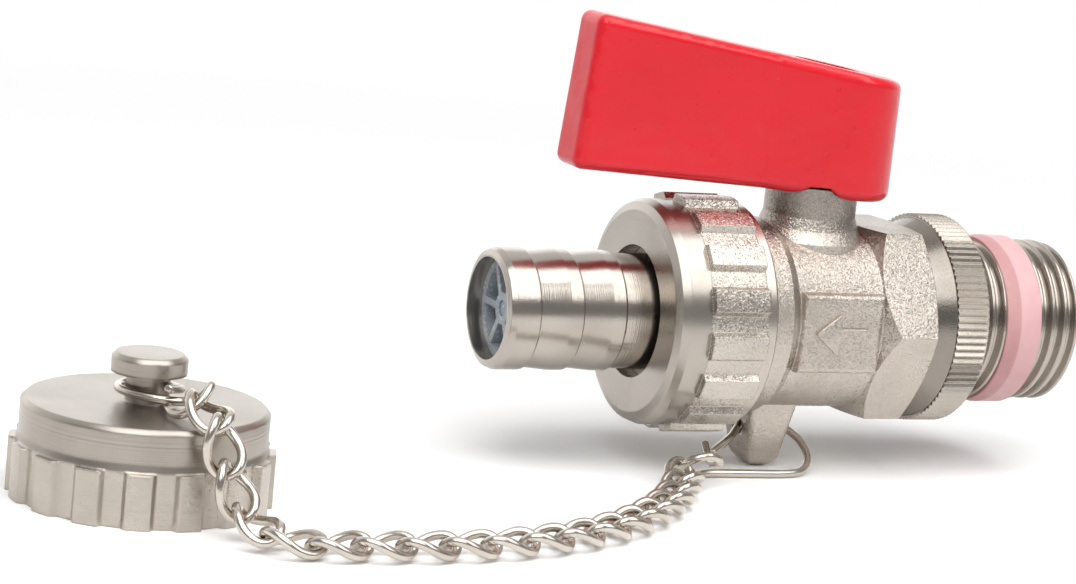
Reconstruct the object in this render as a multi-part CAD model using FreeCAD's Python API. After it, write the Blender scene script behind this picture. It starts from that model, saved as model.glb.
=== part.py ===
"""Boiler drain cock: a ball valve with a union hose tail, a lock nut and a cap on a chain.

Millimetres. The pipe axis is X, the stem is Z. The origin is on the pipe axis at the
plane where the sealing ring meets the boiler, with the free inlet thread at +X.
"""
import FreeCAD, Part
import math
import os

V = FreeCAD.Vector
X_AXIS = V(1, 0, 0)
Y_AXIS = V(0, 1, 0)
Z_AXIS = V(0, 0, 1)

# Pipe threads, outside diameters, and the room a nut has on them
INLET_THREAD_DIA = 20.955
OUTLET_THREAD_DIA = 26.441
CAP_THREAD_MINOR_DIA = 24.117
THREAD_CLEARANCE = 0.06
RUNNING_CLEARANCE = 0.05
SLIDING_GAP = 0.3

# Inlet end, from the sealing plane towards the stem
FREE_THREAD_LENGTH = 6.6
THREAD_END_CHAMFER = 0.9
SEAL_RING_WIDTH = 4.9
SEAL_RING_PROUD = 0.47
SEAL_RING_DIA = INLET_THREAD_DIA + 2 * SEAL_RING_PROUD
SEAL_RING_BEVEL = 1.5
SEAL_RING_BEVEL_DEPTH = 0.25
SEAL_RING_GROOVE = 0.4
EXPOSED_THREAD = 4.2
LOCK_NUT_WIDTH = 7.0
LOCK_NUT_WALL = 2.92
LOCK_NUT_DIA = INLET_THREAD_DIA + 2 * LOCK_NUT_WALL
LOCK_NUT_SHOULDER = 2.3
LOCK_NUT_FACE_WALL = 1.22
LOCK_NUT_FACE_DIA = INLET_THREAD_DIA + 2 * LOCK_NUT_FACE_WALL
LOCK_NUT_STEP = 0.5
LOCK_NUT_BEVEL = 0.4
KNURL_TEETH = 90
KNURL_DEPTH = 0.35
HEX_LENGTH = 7.6
HEX_WALL = 1.52
HEX_ACROSS_FLATS = INLET_THREAD_DIA + 2 * HEX_WALL
HEX_END_CHAMFER = 0.9
HEX_ROOT_SLOPE = 1.8
HEX_FACE_INSET = 0.2
STEM_TO_HEX = 6.0
INLET_WALL = 2.98
INLET_BORE_DIA = INLET_THREAD_DIA - 2 * INLET_WALL

# Body casting, round the ball and the stem
BALL_DIA = 17.0
BALL_PORT_DIA = 10.0
BALL_ROOM = 0.9
CAVITY_DIA = BALL_DIA + 2 * BALL_ROOM
STEM_DIA = 6.8
BARREL_WALL = 2.3
COLLAR_PROUD = 0.7
NECK_WALL = 2.45
OUTLET_END_CHAMFER = 0.8
OUTLET_RELIEF = 1.0
BARREL_DIA = CAVITY_DIA + 2 * BARREL_WALL
COLLAR_DIA = BARREL_DIA + 2 * COLLAR_PROUD
COLLAR_LENGTH = 3.0
COLLAR_SLOPE = 1.2
NECK_DIA = STEM_DIA + 2 * NECK_WALL
NECK_FLARE = 1.5
NECK_FLARE_WAIST = 0.35
NECK_TOP_Z = 17.0
PAD_LENGTH = 11.4
PAD_HEIGHT = 10.0
PAD_PROUD = 0.45
PAD_ROUNDING = 0.7
LUG_FROM_STEM = 4.0
LUG_TIP_Z = -19.5
LUG_BASE_LENGTH = 7.4
LUG_TIP_LENGTH = 4.6
LUG_BASE_WIDTH = 9.4
LUG_TIP_WIDTH = 7.0
LUG_TIP_RISE = 2.2
LUG_TIP_TURN = 70.0
LUG_TIP_STEPS = 5
LUG_ROUNDING = 0.9
LUG_SUNK = 2.5
LUG_HOLE_DIA = 3.0
LUG_HOLE_Z = -14.2

# Ball, seats and stem
BALL_SLOT_WIDTH = 3.2
BALL_SLOT_DEPTH = 2.2
BALL_SLOT_FLOOR_Z = BALL_DIA / 2 - BALL_SLOT_DEPTH
SEAT_LENGTH = 3.0
SEAT_END_INSET = 0.1
SEAT_END_FROM_STEM = BALL_DIA / 2 - SEAT_END_INSET
RETAINER_LENGTH = 3.4
RETAINER_SLOT = 1.6
STEM_COLLAR_LEDGE = 1.2
STEM_COLLAR_DIA = STEM_DIA + 2 * STEM_COLLAR_LEDGE
STEM_COLLAR_GAP = 0.5
STEM_COLLAR_Z = BALL_DIA / 2 + STEM_COLLAR_GAP
STEM_COLLAR_THICKNESS = 1.5
STEM_SQUARE = 5.2
STEM_TOP_Z = 24.0
TANG_LENGTH = 6.0
THRUST_WASHER_THICKNESS = 0.7
O_RING_SECTION = 1.0
O_RING_GROOVE_WIDTH = 1.2
O_RING_Z = 14.4

# Lever handle, painted casting
HANDLE_TIP_FROM_STEM = 34.0
HANDLE_HUB_END = 10.0
HANDLE_HUB_WALL = 1.15
HANDLE_HUB_DIA = NECK_DIA + 2 * HANDLE_HUB_WALL
HANDLE_HUB_BACK = 8.5
HANDLE_ARM_THICKNESS = 6.9
HANDLE_BOTTOM_AT_STEM = 16.0
HANDLE_TOP_AT_STEM = 32.2
HANDLE_BOTTOM_RISE = 3.3
HANDLE_TOP_RISE = 8.4
HANDLE_TIP_LEAN = 5.5
HANDLE_ROUNDING = 1.3
STOP_HEIGHT = 1.6
STOP_SPAN = 70.0
STOP_INSET = 0.2
STOP_WALL_FROM_STEM = 0.7
STOP_PLAY = 1.0
HANDLE_SWING = 90.0
SCREW_HEAD_DIA = 7.2
SCREW_HEAD_HEIGHT = 2.6
SCREW_DIA = 4.0
SCREW_ENGAGEMENT = 8.0
SCREW_SOCKET_AF = 3.0
SCREW_SOCKET_SHARE = 0.6
SCREW_HOLE_ROOM = 0.4
SCREW_WELL_ROOM = 0.6
SCREW_WELL_DIA = SCREW_HEAD_DIA + 2 * SCREW_WELL_ROOM
HANDLE_WEB = 2.4

# Union nut and hose tail
STEM_TO_NUT = 10.1
UNION_NUT_LENGTH = 13.4
UNION_WALL = 0.88
UNION_FLUTE_RISE = 0.05
UNION_LAND_RISE = 0.9
UNION_PLAIN_DIA = OUTLET_THREAD_DIA + 2 * UNION_WALL
UNION_FLUTE_DIA = UNION_PLAIN_DIA + 2 * UNION_FLUTE_RISE
UNION_NUT_DIA = UNION_PLAIN_DIA + 2 * UNION_LAND_RISE
UNION_FRONT_BAND = 4.3
UNION_REAR_BAND = 1.6
UNION_FRONT_CHAMFER = 1.5
UNION_REAR_CHAMFER = 0.3
UNION_FRONT_WALL = 2.2
FLUTE_COUNT = 16
FLUTE_LAND_ANGLE = 10.5
FLUTE_SIDE_ANGLE = 2.0
TAIL_STICKOUT = 19.5
TAIL_BARB_DIA = 15.0
UNION_HOLE_ROOM = 0.8
UNION_HOLE_DIA = TAIL_BARB_DIA + 2 * UNION_HOLE_ROOM
BARB_DEPTH = 0.4
TAIL_ROOT_DIA = TAIL_BARB_DIA - 2 * BARB_DEPTH
TAIL_WALL = 0.8
TAIL_MOUTH_BORE = TAIL_ROOT_DIA - 2 * TAIL_WALL
POPPET_SEAT_STEP = 2.1
TAIL_NECK_BORE = TAIL_MOUTH_BORE - 2 * POPPET_SEAT_STEP
BARB_COUNT = 3
BARB_PITCH = 5.7
BARB_FIRST = 4.0
BARB_LAND = 1.6
BARB_STEP = 0.3
TAIL_NECK_TAPER = 0.4
TAIL_NOSE_ROUNDING = 1.0
TAIL_FLANGE_ROOM = 1.22
TAIL_FLANGE_DIA = OUTLET_THREAD_DIA - 2 * TAIL_FLANGE_ROOM
TAIL_FLANGE_THICKNESS = 1.4
GASKET_THICKNESS = 1.5
GASKET_RIM = 3.75
GASKET_BORE = TAIL_FLANGE_DIA - 2 * GASKET_RIM

# Check valve in the hose tail
CAGE_RECESS = 2.0
CAGE_LENGTH = 3.2
CAGE_RING_WALL = 0.9
CAGE_HUB_DIA = 4.0
CAGE_SPOKES = 6
CAGE_SPOKE_WIDTH = 0.9
POPPET_STEM_DIA = 1.8
POPPET_ROOM = 1.2
POPPET_DISC_DIA = TAIL_MOUTH_BORE - 2 * POPPET_ROOM
POPPET_DISC_THICKNESS = 1.5
POPPET_EDGE = 0.4
POPPET_STEM_INSET = 0.2
POPPET_TRAVEL = 2.5
SPRING_WIRE_DIA = 0.45
SPRING_MEAN_DIA = 4.6
SPRING_TURNS = 4
SPRING_POINTS = 12

# Cap, lying open side down on the surface at the lug's tip
CAP_X = -119.0
CAP_Y = -14.0
CAP_BAND_HEIGHT = 6.2
CAP_STEP_HEIGHT = 0.9
CAP_WALL = 1.94
CAP_FLUTE_RISE = 0.25
CAP_LAND_RISE = 0.75
CAP_UPPER_DIA = CAP_THREAD_MINOR_DIA + 2 * CAP_WALL
CAP_FLUTE_DIA = CAP_UPPER_DIA + 2 * CAP_FLUTE_RISE
CAP_BAND_DIA = CAP_FLUTE_DIA + 2 * CAP_LAND_RISE
CAP_HEIGHT = 11.0
CAP_EDGE_CHAMFER = 0.5
CAP_END_WALL = 2.0
CAP_GASKET_THICKNESS = 2.0
CAP_GASKET_GROOVE = 0.64
CAP_GASKET_DIA = CAP_THREAD_MINOR_DIA + 2 * CAP_GASKET_GROOVE
KNOB_NECK_DIA = 5.0
KNOB_LEDGE = 1.8
KNOB_HEAD_DIA = KNOB_NECK_DIA + 2 * KNOB_LEDGE
KNOB_HEIGHT = 5.6
KNOB_HEAD_THICKNESS = 2.2
KNOB_HEAD_CHAMFER = 0.5

# Chain and wire clips
CHAIN_BOW = 12.0
LINK_PITCH = 5.0
LINK_WIRE_DIA = 1.1
LINK_GAP = 0.5
LINK_WIDTH = 5.3
LINK_HALF_TWIST = 45.0
LINK_POINTS = 18
CLIP_WIRE_DIA = 1.0
CLIP_GAP = 0.35
REST_GAP = 0.05
CLIP_STEPS = 3
WIRE_SIDES = 8
CHAIN_OFF_CAP_ANGLE = -75.0
CHAIN_LANDS_FROM_CAP = 11.0
CHAIN_LYING_SHARE = 0.31
BOW_SPANS = 8
CAP_EYE_REACH = 7.7
CAP_EYE_RISE = 2.6
LUG_EYE_X = -15.9
LUG_EYE_Y = -11.2
LUG_EYE_RISE = 1.7
EYE_TILT = 42.0

# Places along the pipe axis that follow from the sizes above
LOCK_NUT_X1 = -SEAL_RING_WIDTH - EXPOSED_THREAD
LOCK_NUT_X0 = LOCK_NUT_X1 - LOCK_NUT_WIDTH
HEX_X1 = LOCK_NUT_X0 - RUNNING_CLEARANCE
HEX_X0 = HEX_X1 - HEX_LENGTH
STEM_X = HEX_X0 - STEM_TO_HEX
NUT_X1 = STEM_X - STEM_TO_NUT
NUT_X0 = NUT_X1 - UNION_NUT_LENGTH
FLANGE_X0 = NUT_X0 + UNION_FRONT_WALL + RUNNING_CLEARANCE
GASKET_X0 = FLANGE_X0 + TAIL_FLANGE_THICKNESS
SPIGOT_X0 = GASKET_X0 + GASKET_THICKNESS + RUNNING_CLEARANCE
MOUTH_X = NUT_X0 - TAIL_STICKOUT
CAGE_X0 = MOUTH_X + CAGE_RECESS
CAGE_X1 = CAGE_X0 + CAGE_LENGTH
SPRING_ROOM = SPRING_TURNS * SPRING_WIRE_DIA + SLIDING_GAP + POPPET_TRAVEL
POPPET_SEAT_X = CAGE_X1 + SPRING_ROOM + POPPET_DISC_THICKNESS + 2 * RUNNING_CLEARANCE
LUG_X = STEM_X - LUG_FROM_STEM
FLOOR_Z = LUG_TIP_Z
CAP_TOP_Z = FLOOR_Z + CAP_HEIGHT
CLIP_LOW_Z = FLOOR_Z + CLIP_WIRE_DIA / 2 + REST_GAP
CAP_EYE = (KNOB_NECK_DIA + CLIP_WIRE_DIA) / 2 + CLIP_GAP + CAP_EYE_REACH


def cylinder_x(x0, x1, dia):
    """Cylinder on the pipe axis between two places."""
    return Part.makeCylinder(dia / 2, x1 - x0, V(x0, 0, 0), X_AXIS)


def cylinder_z(z0, z1, dia, x=0.0, y=0.0):
    """Upright cylinder between two heights."""
    return Part.makeCylinder(dia / 2, z1 - z0, V(x, y, z0), Z_AXIS)


def ring_x(x0, x1, outer_dia, inner_dia):
    """Plain ring on the pipe axis."""
    return cylinder_x(x0, x1, outer_dia).cut(cylinder_x(x0 - 1, x1 + 1, inner_dia))


def turned_x(outline):
    """Solid turned about the pipe axis from (place, diameter) corners."""
    corners = [V(x, 0, dia / 2) for x, dia in outline]
    return Part.Face(Part.makePolygon(corners + corners[:1])).revolve(V(), X_AXIS, 360)


def turned_z(outline, x=0.0, y=0.0):
    """Solid turned about an upright axis from (height, diameter) corners."""
    corners = [V(x + dia / 2, y, z) for z, dia in outline]
    return Part.Face(Part.makePolygon(corners + corners[:1])).revolve(V(x, y, 0), Z_AXIS, 360)


def box(x0, x1, y0, y1, z0, z1):
    """Box between two corners."""
    return Part.makeBox(x1 - x0, y1 - y0, z1 - z0, V(x0, y0, z0))


def polar(radius, degrees):
    """Point in the plan at a radius and an angle."""
    return V(radius * math.cos(math.radians(degrees)), radius * math.sin(math.radians(degrees)), 0)


def arc(radius, start, end):
    """Arc about the origin in the plan, by its two angles."""
    return Part.Arc(polar(radius, start), polar(radius, (start + end) / 2), polar(radius, end)).toShape()


def fluted_bar(land_dia, flute_dia, length):
    """Upright bar with flat-sided flutes between rounded lands."""
    land, flute = land_dia / 2, flute_dia / 2
    step = 360.0 / FLUTE_COUNT
    edges = []
    for i in range(FLUTE_COUNT):
        start = i * step
        top_end = start + FLUTE_LAND_ANGLE
        foot_start = top_end + FLUTE_SIDE_ANGLE
        foot_end = start + step - FLUTE_SIDE_ANGLE
        edges.append(arc(land, start, top_end))
        edges.append(Part.makeLine(polar(land, top_end), polar(flute, foot_start)))
        edges.append(arc(flute, foot_start, foot_end))
        edges.append(Part.makeLine(polar(flute, foot_end), polar(land, start + step)))
    return Part.Face(Part.Wire(edges)).extrude(V(0, 0, length))


def knurled_bar(dia, depth, teeth, length):
    """Upright bar with straight knurling, one ridge and one groove to a tooth."""
    step = 180.0 / teeth
    corners = [polar(dia / 2 - depth * (i % 2), i * step) for i in range(2 * teeth)]
    return Part.Face(Part.makePolygon(corners + corners[:1])).extrude(V(0, 0, length))


def laid_along_x(shape, x0):
    """Turn an upright shape so that its foot is at x0 on the pipe axis."""
    shape.rotate(V(), Y_AXIS, 90)
    shape.translate(V(x0, 0, 0))
    return shape


def sector_z(outer_dia, inner_dia, z0, z1, start, span):
    """Upright piece of a ring between two angles, about the stem."""
    whole = Part.makeCylinder(outer_dia / 2, z1 - z0, V(0, 0, z0), Z_AXIS, span)
    whole = whole.cut(cylinder_z(z0 - 1, z1 + 1, inner_dia))
    whole.rotate(V(), Z_AXIS, start)
    whole.translate(V(STEM_X, 0, 0))
    return whole


def wire_tube(points, dia, closed):
    """Bent wire with flat-sided section, its section carried along the points without twist."""
    count = len(points)
    tangents = []
    for i in range(count):
        before = points[i - 1] if closed or i > 0 else points[0]
        after = points[(i + 1) % count] if closed or i < count - 1 else points[-1]
        tangents.append((after - before).normalize())
    side = tangents[0].cross(Z_AXIS if abs(tangents[0].z) < 0.9 else X_AXIS).normalize()
    sides = []
    for tangent in tangents:
        side = (side - tangent * side.dot(tangent)).normalize()
        sides.append(side)
    drift = 0.0
    if closed:
        first, last = tangents[0], sides[-1]
        last = (last - first * last.dot(first)).normalize()
        drift = math.atan2(last.cross(sides[0]).dot(first), last.dot(sides[0]))
    corners = []
    for i in range(count):
        up = tangents[i].cross(sides[i])
        for k in range(WIRE_SIDES):
            angle = 2 * math.pi * k / WIRE_SIDES + drift * i / count
            corners.append(points[i] + (sides[i] * math.cos(angle) + up * math.sin(angle)) * (dia / 2))
    facets = []
    for i in range(count if closed else count - 1):
        here, there = i * WIRE_SIDES, (i + 1) % count * WIRE_SIDES
        for k in range(WIRE_SIDES):
            nxt = (k + 1) % WIRE_SIDES
            facets.append((here + k, here + nxt, there + nxt))
            facets.append((here + k, there + nxt, there + k))
    if not closed:
        last = (count - 1) * WIRE_SIDES
        for k in range(1, WIRE_SIDES - 1):
            facets.append((0, k + 1, k))
            facets.append((last, last + k, last + k + 1))
    shell = Part.Shape()
    shell.makeShapeFromMesh((corners, facets), 1e-4)
    solid = Part.Solid(shell)
    if solid.Volume < 0:
        solid.reverse()
    return solid


def smooth_path(points, steps):
    """Points of a smooth curve through the given points, with that many steps to a span."""
    path = []
    for i in range(len(points) - 1):
        a = points[max(i - 1, 0)]
        b, c = points[i], points[i + 1]
        d = points[min(i + 2, len(points) - 1)]
        for k in range(steps):
            t = k / steps
            path.append((b * 2 + (c - a) * t + (a * 2 - b * 5 + c * 4 - d) * t ** 2
                         + (b * 3 - a - c * 3 + d) * t ** 3) * 0.5)
    path.append(points[-1])
    return path


def rounded_rectangle(length, width, rounding, z):
    """Level rectangle with rounded corners, about the lug's middle."""
    half_x, half_y = length / 2 - rounding, width / 2 - rounding
    corners = [(half_x, half_y, 0), (-half_x, half_y, 90), (-half_x, -half_y, 180), (half_x, -half_y, 270)]
    points = []
    for x, y, start in corners:
        points.append([V(LUG_X + x, y, z) + polar(rounding, start + turn) for turn in (0, 45, 90)])
    edges = []
    for i, (first, middle, last) in enumerate(points):
        edges.append(Part.Arc(first, middle, last).toShape())
        edges.append(Part.makeLine(last, points[(i + 1) % len(points)][0]))
    return Part.Wire(edges)


def lug():
    """Tapered chain lug under the barrel, its tip rounded like the end of an egg."""
    shoulder = LUG_TIP_Z + LUG_TIP_RISE
    top = -BARREL_DIA / 2 + LUG_SUNK
    sections = [rounded_rectangle(LUG_BASE_LENGTH, LUG_BASE_WIDTH, LUG_ROUNDING, top)]
    last = math.radians(LUG_TIP_TURN)
    for i in range(LUG_TIP_STEPS):
        turn = last * i / (LUG_TIP_STEPS - 1)
        share = math.cos(turn)
        z = shoulder - LUG_TIP_RISE * math.sin(turn) / math.sin(last)
        length, width = LUG_TIP_LENGTH * share, LUG_TIP_WIDTH * share
        sections.append(rounded_rectangle(length, width, LUG_ROUNDING * share, z))
    return Part.makeLoft(sections, True, True)


def hexagon():
    """Spanner hexagon with flats above and below, turned down at its end and sloped at its root."""
    corner_dia = HEX_ACROSS_FLATS / math.cos(math.pi / 6)
    corners = [polar(corner_dia / 2, 30 + a) for a in range(0, 360, 60)]
    prism = Part.Face(Part.makePolygon(corners + corners[:1])).extrude(V(0, 0, HEX_LENGTH))
    prism.rotate(V(), Z_AXIS, 90 - 30)
    prism = laid_along_x(prism, HEX_X0)
    wide_dia = corner_dia + 2 * HEX_FACE_INSET
    envelope = turned_x([(HEX_X0, 0), (HEX_X0, BARREL_DIA), (HEX_X0 + HEX_ROOT_SLOPE, wide_dia),
                         (HEX_X1 - HEX_END_CHAMFER, wide_dia),
                         (HEX_X1, HEX_ACROSS_FLATS - 2 * HEX_FACE_INSET), (HEX_X1, 0)])
    return prism.common(envelope)


def marking_pad():
    """Flat pad cast on the side of the barrel."""
    face_y = -BARREL_DIA / 2 - PAD_PROUD
    block = box(STEM_X - PAD_LENGTH / 2, STEM_X + PAD_LENGTH / 2, face_y, -BARREL_DIA / 4,
                -PAD_HEIGHT / 2, PAD_HEIGHT / 2)
    rim = [e for e in block.Edges if e.BoundBox.YMax < face_y + 0.01]
    return block.makeFillet(PAD_ROUNDING, rim)


def waterway():
    """Space inside the casting: inlet bore, ball chamber, outlet bore and stem bore."""
    chamber_x1 = STEM_X + SEAT_END_FROM_STEM
    roof = STEM_COLLAR_Z + STEM_COLLAR_THICKNESS + THRUST_WASHER_THICKNESS + 2 * RUNNING_CLEARANCE
    space = cylinder_x(SPIGOT_X0 - 1, chamber_x1, CAVITY_DIA)
    space = space.fuse(cylinder_x(chamber_x1 - 1, HEX_X1, BALL_PORT_DIA))
    space = space.fuse(cylinder_x(HEX_X1 - 2, FREE_THREAD_LENGTH + 1, INLET_BORE_DIA))
    space = space.fuse(cylinder_z(0, roof, STEM_COLLAR_DIA + 2 * SLIDING_GAP, STEM_X))
    stem_bore = STEM_DIA + 2 * RUNNING_CLEARANCE
    return space.fuse(cylinder_z(0, NECK_TOP_Z + STOP_HEIGHT + 1, stem_bore, STEM_X))


def valve_body():
    """One casting: spigot, barrel, hexagon, inlet thread, stem neck, chain lug and pad."""
    collar_end = NUT_X1 + COLLAR_LENGTH
    relief_dia = OUTLET_THREAD_DIA - 2 * OUTLET_RELIEF
    spigot_dia = OUTLET_THREAD_DIA - 2 * OUTLET_END_CHAMFER
    thread_stop = NUT_X1 - UNION_REAR_BAND
    barrel = turned_x([(SPIGOT_X0, 0), (SPIGOT_X0, spigot_dia),
                       (SPIGOT_X0 + OUTLET_END_CHAMFER, OUTLET_THREAD_DIA),
                       (thread_stop, OUTLET_THREAD_DIA), (thread_stop, relief_dia),
                       (NUT_X1 + SLIDING_GAP, relief_dia), (NUT_X1 + SLIDING_GAP, COLLAR_DIA),
                       (collar_end, COLLAR_DIA), (collar_end + COLLAR_SLOPE, BARREL_DIA),
                       (HEX_X0 + HEX_ROOT_SLOPE, BARREL_DIA), (HEX_X0 + HEX_ROOT_SLOPE, 0)])
    groove_dia = INLET_THREAD_DIA - 2 * SEAL_RING_GROOVE
    inlet = turned_x([(HEX_X1 - 1, 0), (HEX_X1 - 1, INLET_THREAD_DIA), (-SEAL_RING_WIDTH, INLET_THREAD_DIA),
                      (-SEAL_RING_WIDTH, groove_dia), (0, groove_dia), (0, INLET_THREAD_DIA),
                      (FREE_THREAD_LENGTH - THREAD_END_CHAMFER, INLET_THREAD_DIA),
                      (FREE_THREAD_LENGTH, INLET_THREAD_DIA - 2 * THREAD_END_CHAMFER), (FREE_THREAD_LENGTH, 0)])
    neck_foot = BARREL_DIA / 2 - NECK_FLARE
    foot_dia = NECK_DIA + 2 * NECK_FLARE
    waist_dia = NECK_DIA + 2 * NECK_FLARE * NECK_FLARE_WAIST
    neck = turned_z([(0, 0), (0, foot_dia), (neck_foot, foot_dia), (neck_foot + NECK_FLARE, waist_dia),
                     (neck_foot + 2 * NECK_FLARE, NECK_DIA), (NECK_TOP_Z, NECK_DIA), (NECK_TOP_Z, 0)], STEM_X)
    stop = sector_z(NECK_DIA - 2 * STOP_INSET, STEM_DIA + 2 * STOP_WALL_FROM_STEM, NECK_TOP_Z - 1,
                    NECK_TOP_Z + STOP_HEIGHT, -STOP_SPAN / 2, STOP_SPAN)
    solid = barrel.multiFuse([hexagon(), inlet, neck, stop, lug(), marking_pad()]).removeSplitter()
    hole_start = V(LUG_X - LUG_BASE_LENGTH, 0, LUG_HOLE_Z)
    hole = Part.makeCylinder(LUG_HOLE_DIA / 2, 2 * LUG_BASE_LENGTH, hole_start, X_AXIS)
    return solid.cut(waterway()).cut(hole)


def seat(towards_inlet):
    """Seat ring with a hollow face that fits the ball."""
    end = SEAT_END_FROM_STEM - RUNNING_CLEARANCE
    ring = ring_x(end - SEAT_LENGTH, end, CAVITY_DIA - 2 * RUNNING_CLEARANCE, BALL_PORT_DIA)
    ring = ring.cut(Part.makeSphere(BALL_DIA / 2 + RUNNING_CLEARANCE))
    if not towards_inlet:
        ring.rotate(V(), Z_AXIS, 180)
    ring.translate(V(STEM_X, 0, 0))
    return ring


def seat_retainer():
    """Ring screwed in behind the outlet seat, with two slots for the spanner."""
    x1 = STEM_X - SEAT_END_FROM_STEM
    x0 = x1 - RETAINER_LENGTH
    ring = ring_x(x0, x1, CAVITY_DIA - 2 * RUNNING_CLEARANCE, BALL_PORT_DIA)
    slot = box(x0 - 1, x0 + RETAINER_SLOT, -CAVITY_DIA, CAVITY_DIA, -RETAINER_SLOT / 2, RETAINER_SLOT / 2)
    return ring.cut(slot)


def ball():
    """Ball with its port along the pipe and a slot for the stem's tang."""
    solid = Part.makeSphere(BALL_DIA / 2, V(STEM_X, 0, 0))
    solid = solid.cut(cylinder_x(STEM_X - BALL_DIA, STEM_X + BALL_DIA, BALL_PORT_DIA))
    half = BALL_SLOT_WIDTH / 2
    return solid.cut(box(STEM_X - BALL_DIA, STEM_X + BALL_DIA, -half, half, BALL_SLOT_FLOOR_Z, BALL_DIA))


def stem():
    """Stem with a tang, a collar that stops it blowing out, a ring groove and a square end."""
    collar_top = STEM_COLLAR_Z + STEM_COLLAR_THICKNESS
    square_z = NECK_TOP_Z + STOP_HEIGHT
    half_tang = BALL_SLOT_WIDTH / 2 - RUNNING_CLEARANCE
    tang = box(STEM_X - TANG_LENGTH / 2, STEM_X + TANG_LENGTH / 2, -half_tang, half_tang,
               BALL_SLOT_FLOOR_Z + SLIDING_GAP, STEM_COLLAR_Z)
    half_square = STEM_SQUARE / 2
    square = box(STEM_X - half_square, STEM_X + half_square, -half_square, half_square, square_z, STEM_TOP_Z)
    solid = cylinder_z(STEM_COLLAR_Z, collar_top, STEM_COLLAR_DIA, STEM_X)
    solid = solid.multiFuse([tang, cylinder_z(collar_top, square_z, STEM_DIA, STEM_X), square])
    groove_z = O_RING_Z - O_RING_GROOVE_WIDTH / 2
    groove = cylinder_z(groove_z, groove_z + O_RING_GROOVE_WIDTH, STEM_DIA + 1, STEM_X)
    groove = groove.cut(cylinder_z(0, STEM_TOP_Z, STEM_DIA - 2 * O_RING_SECTION, STEM_X))
    screw_hole = cylinder_z(STEM_TOP_Z - SCREW_ENGAGEMENT - 1, STEM_TOP_Z + 1, SCREW_DIA, STEM_X)
    return solid.cut(groove).cut(screw_hole)


def stem_o_ring():
    """Rubber ring in the stem's groove."""
    centre = V(STEM_X, 0, O_RING_Z)
    return Part.makeTorus((STEM_DIA - O_RING_SECTION) / 2, O_RING_SECTION / 2, centre, Z_AXIS)


def thrust_washer():
    """Washer between the stem's collar and the roof of the chamber."""
    z0 = STEM_COLLAR_Z + STEM_COLLAR_THICKNESS + RUNNING_CLEARANCE
    z1 = z0 + THRUST_WASHER_THICKNESS
    disc = cylinder_z(z0, z1, STEM_COLLAR_DIA, STEM_X)
    return disc.cut(cylinder_z(z0 - 1, z1 + 1, STEM_DIA + 2 * RUNNING_CLEARANCE, STEM_X))


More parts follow.
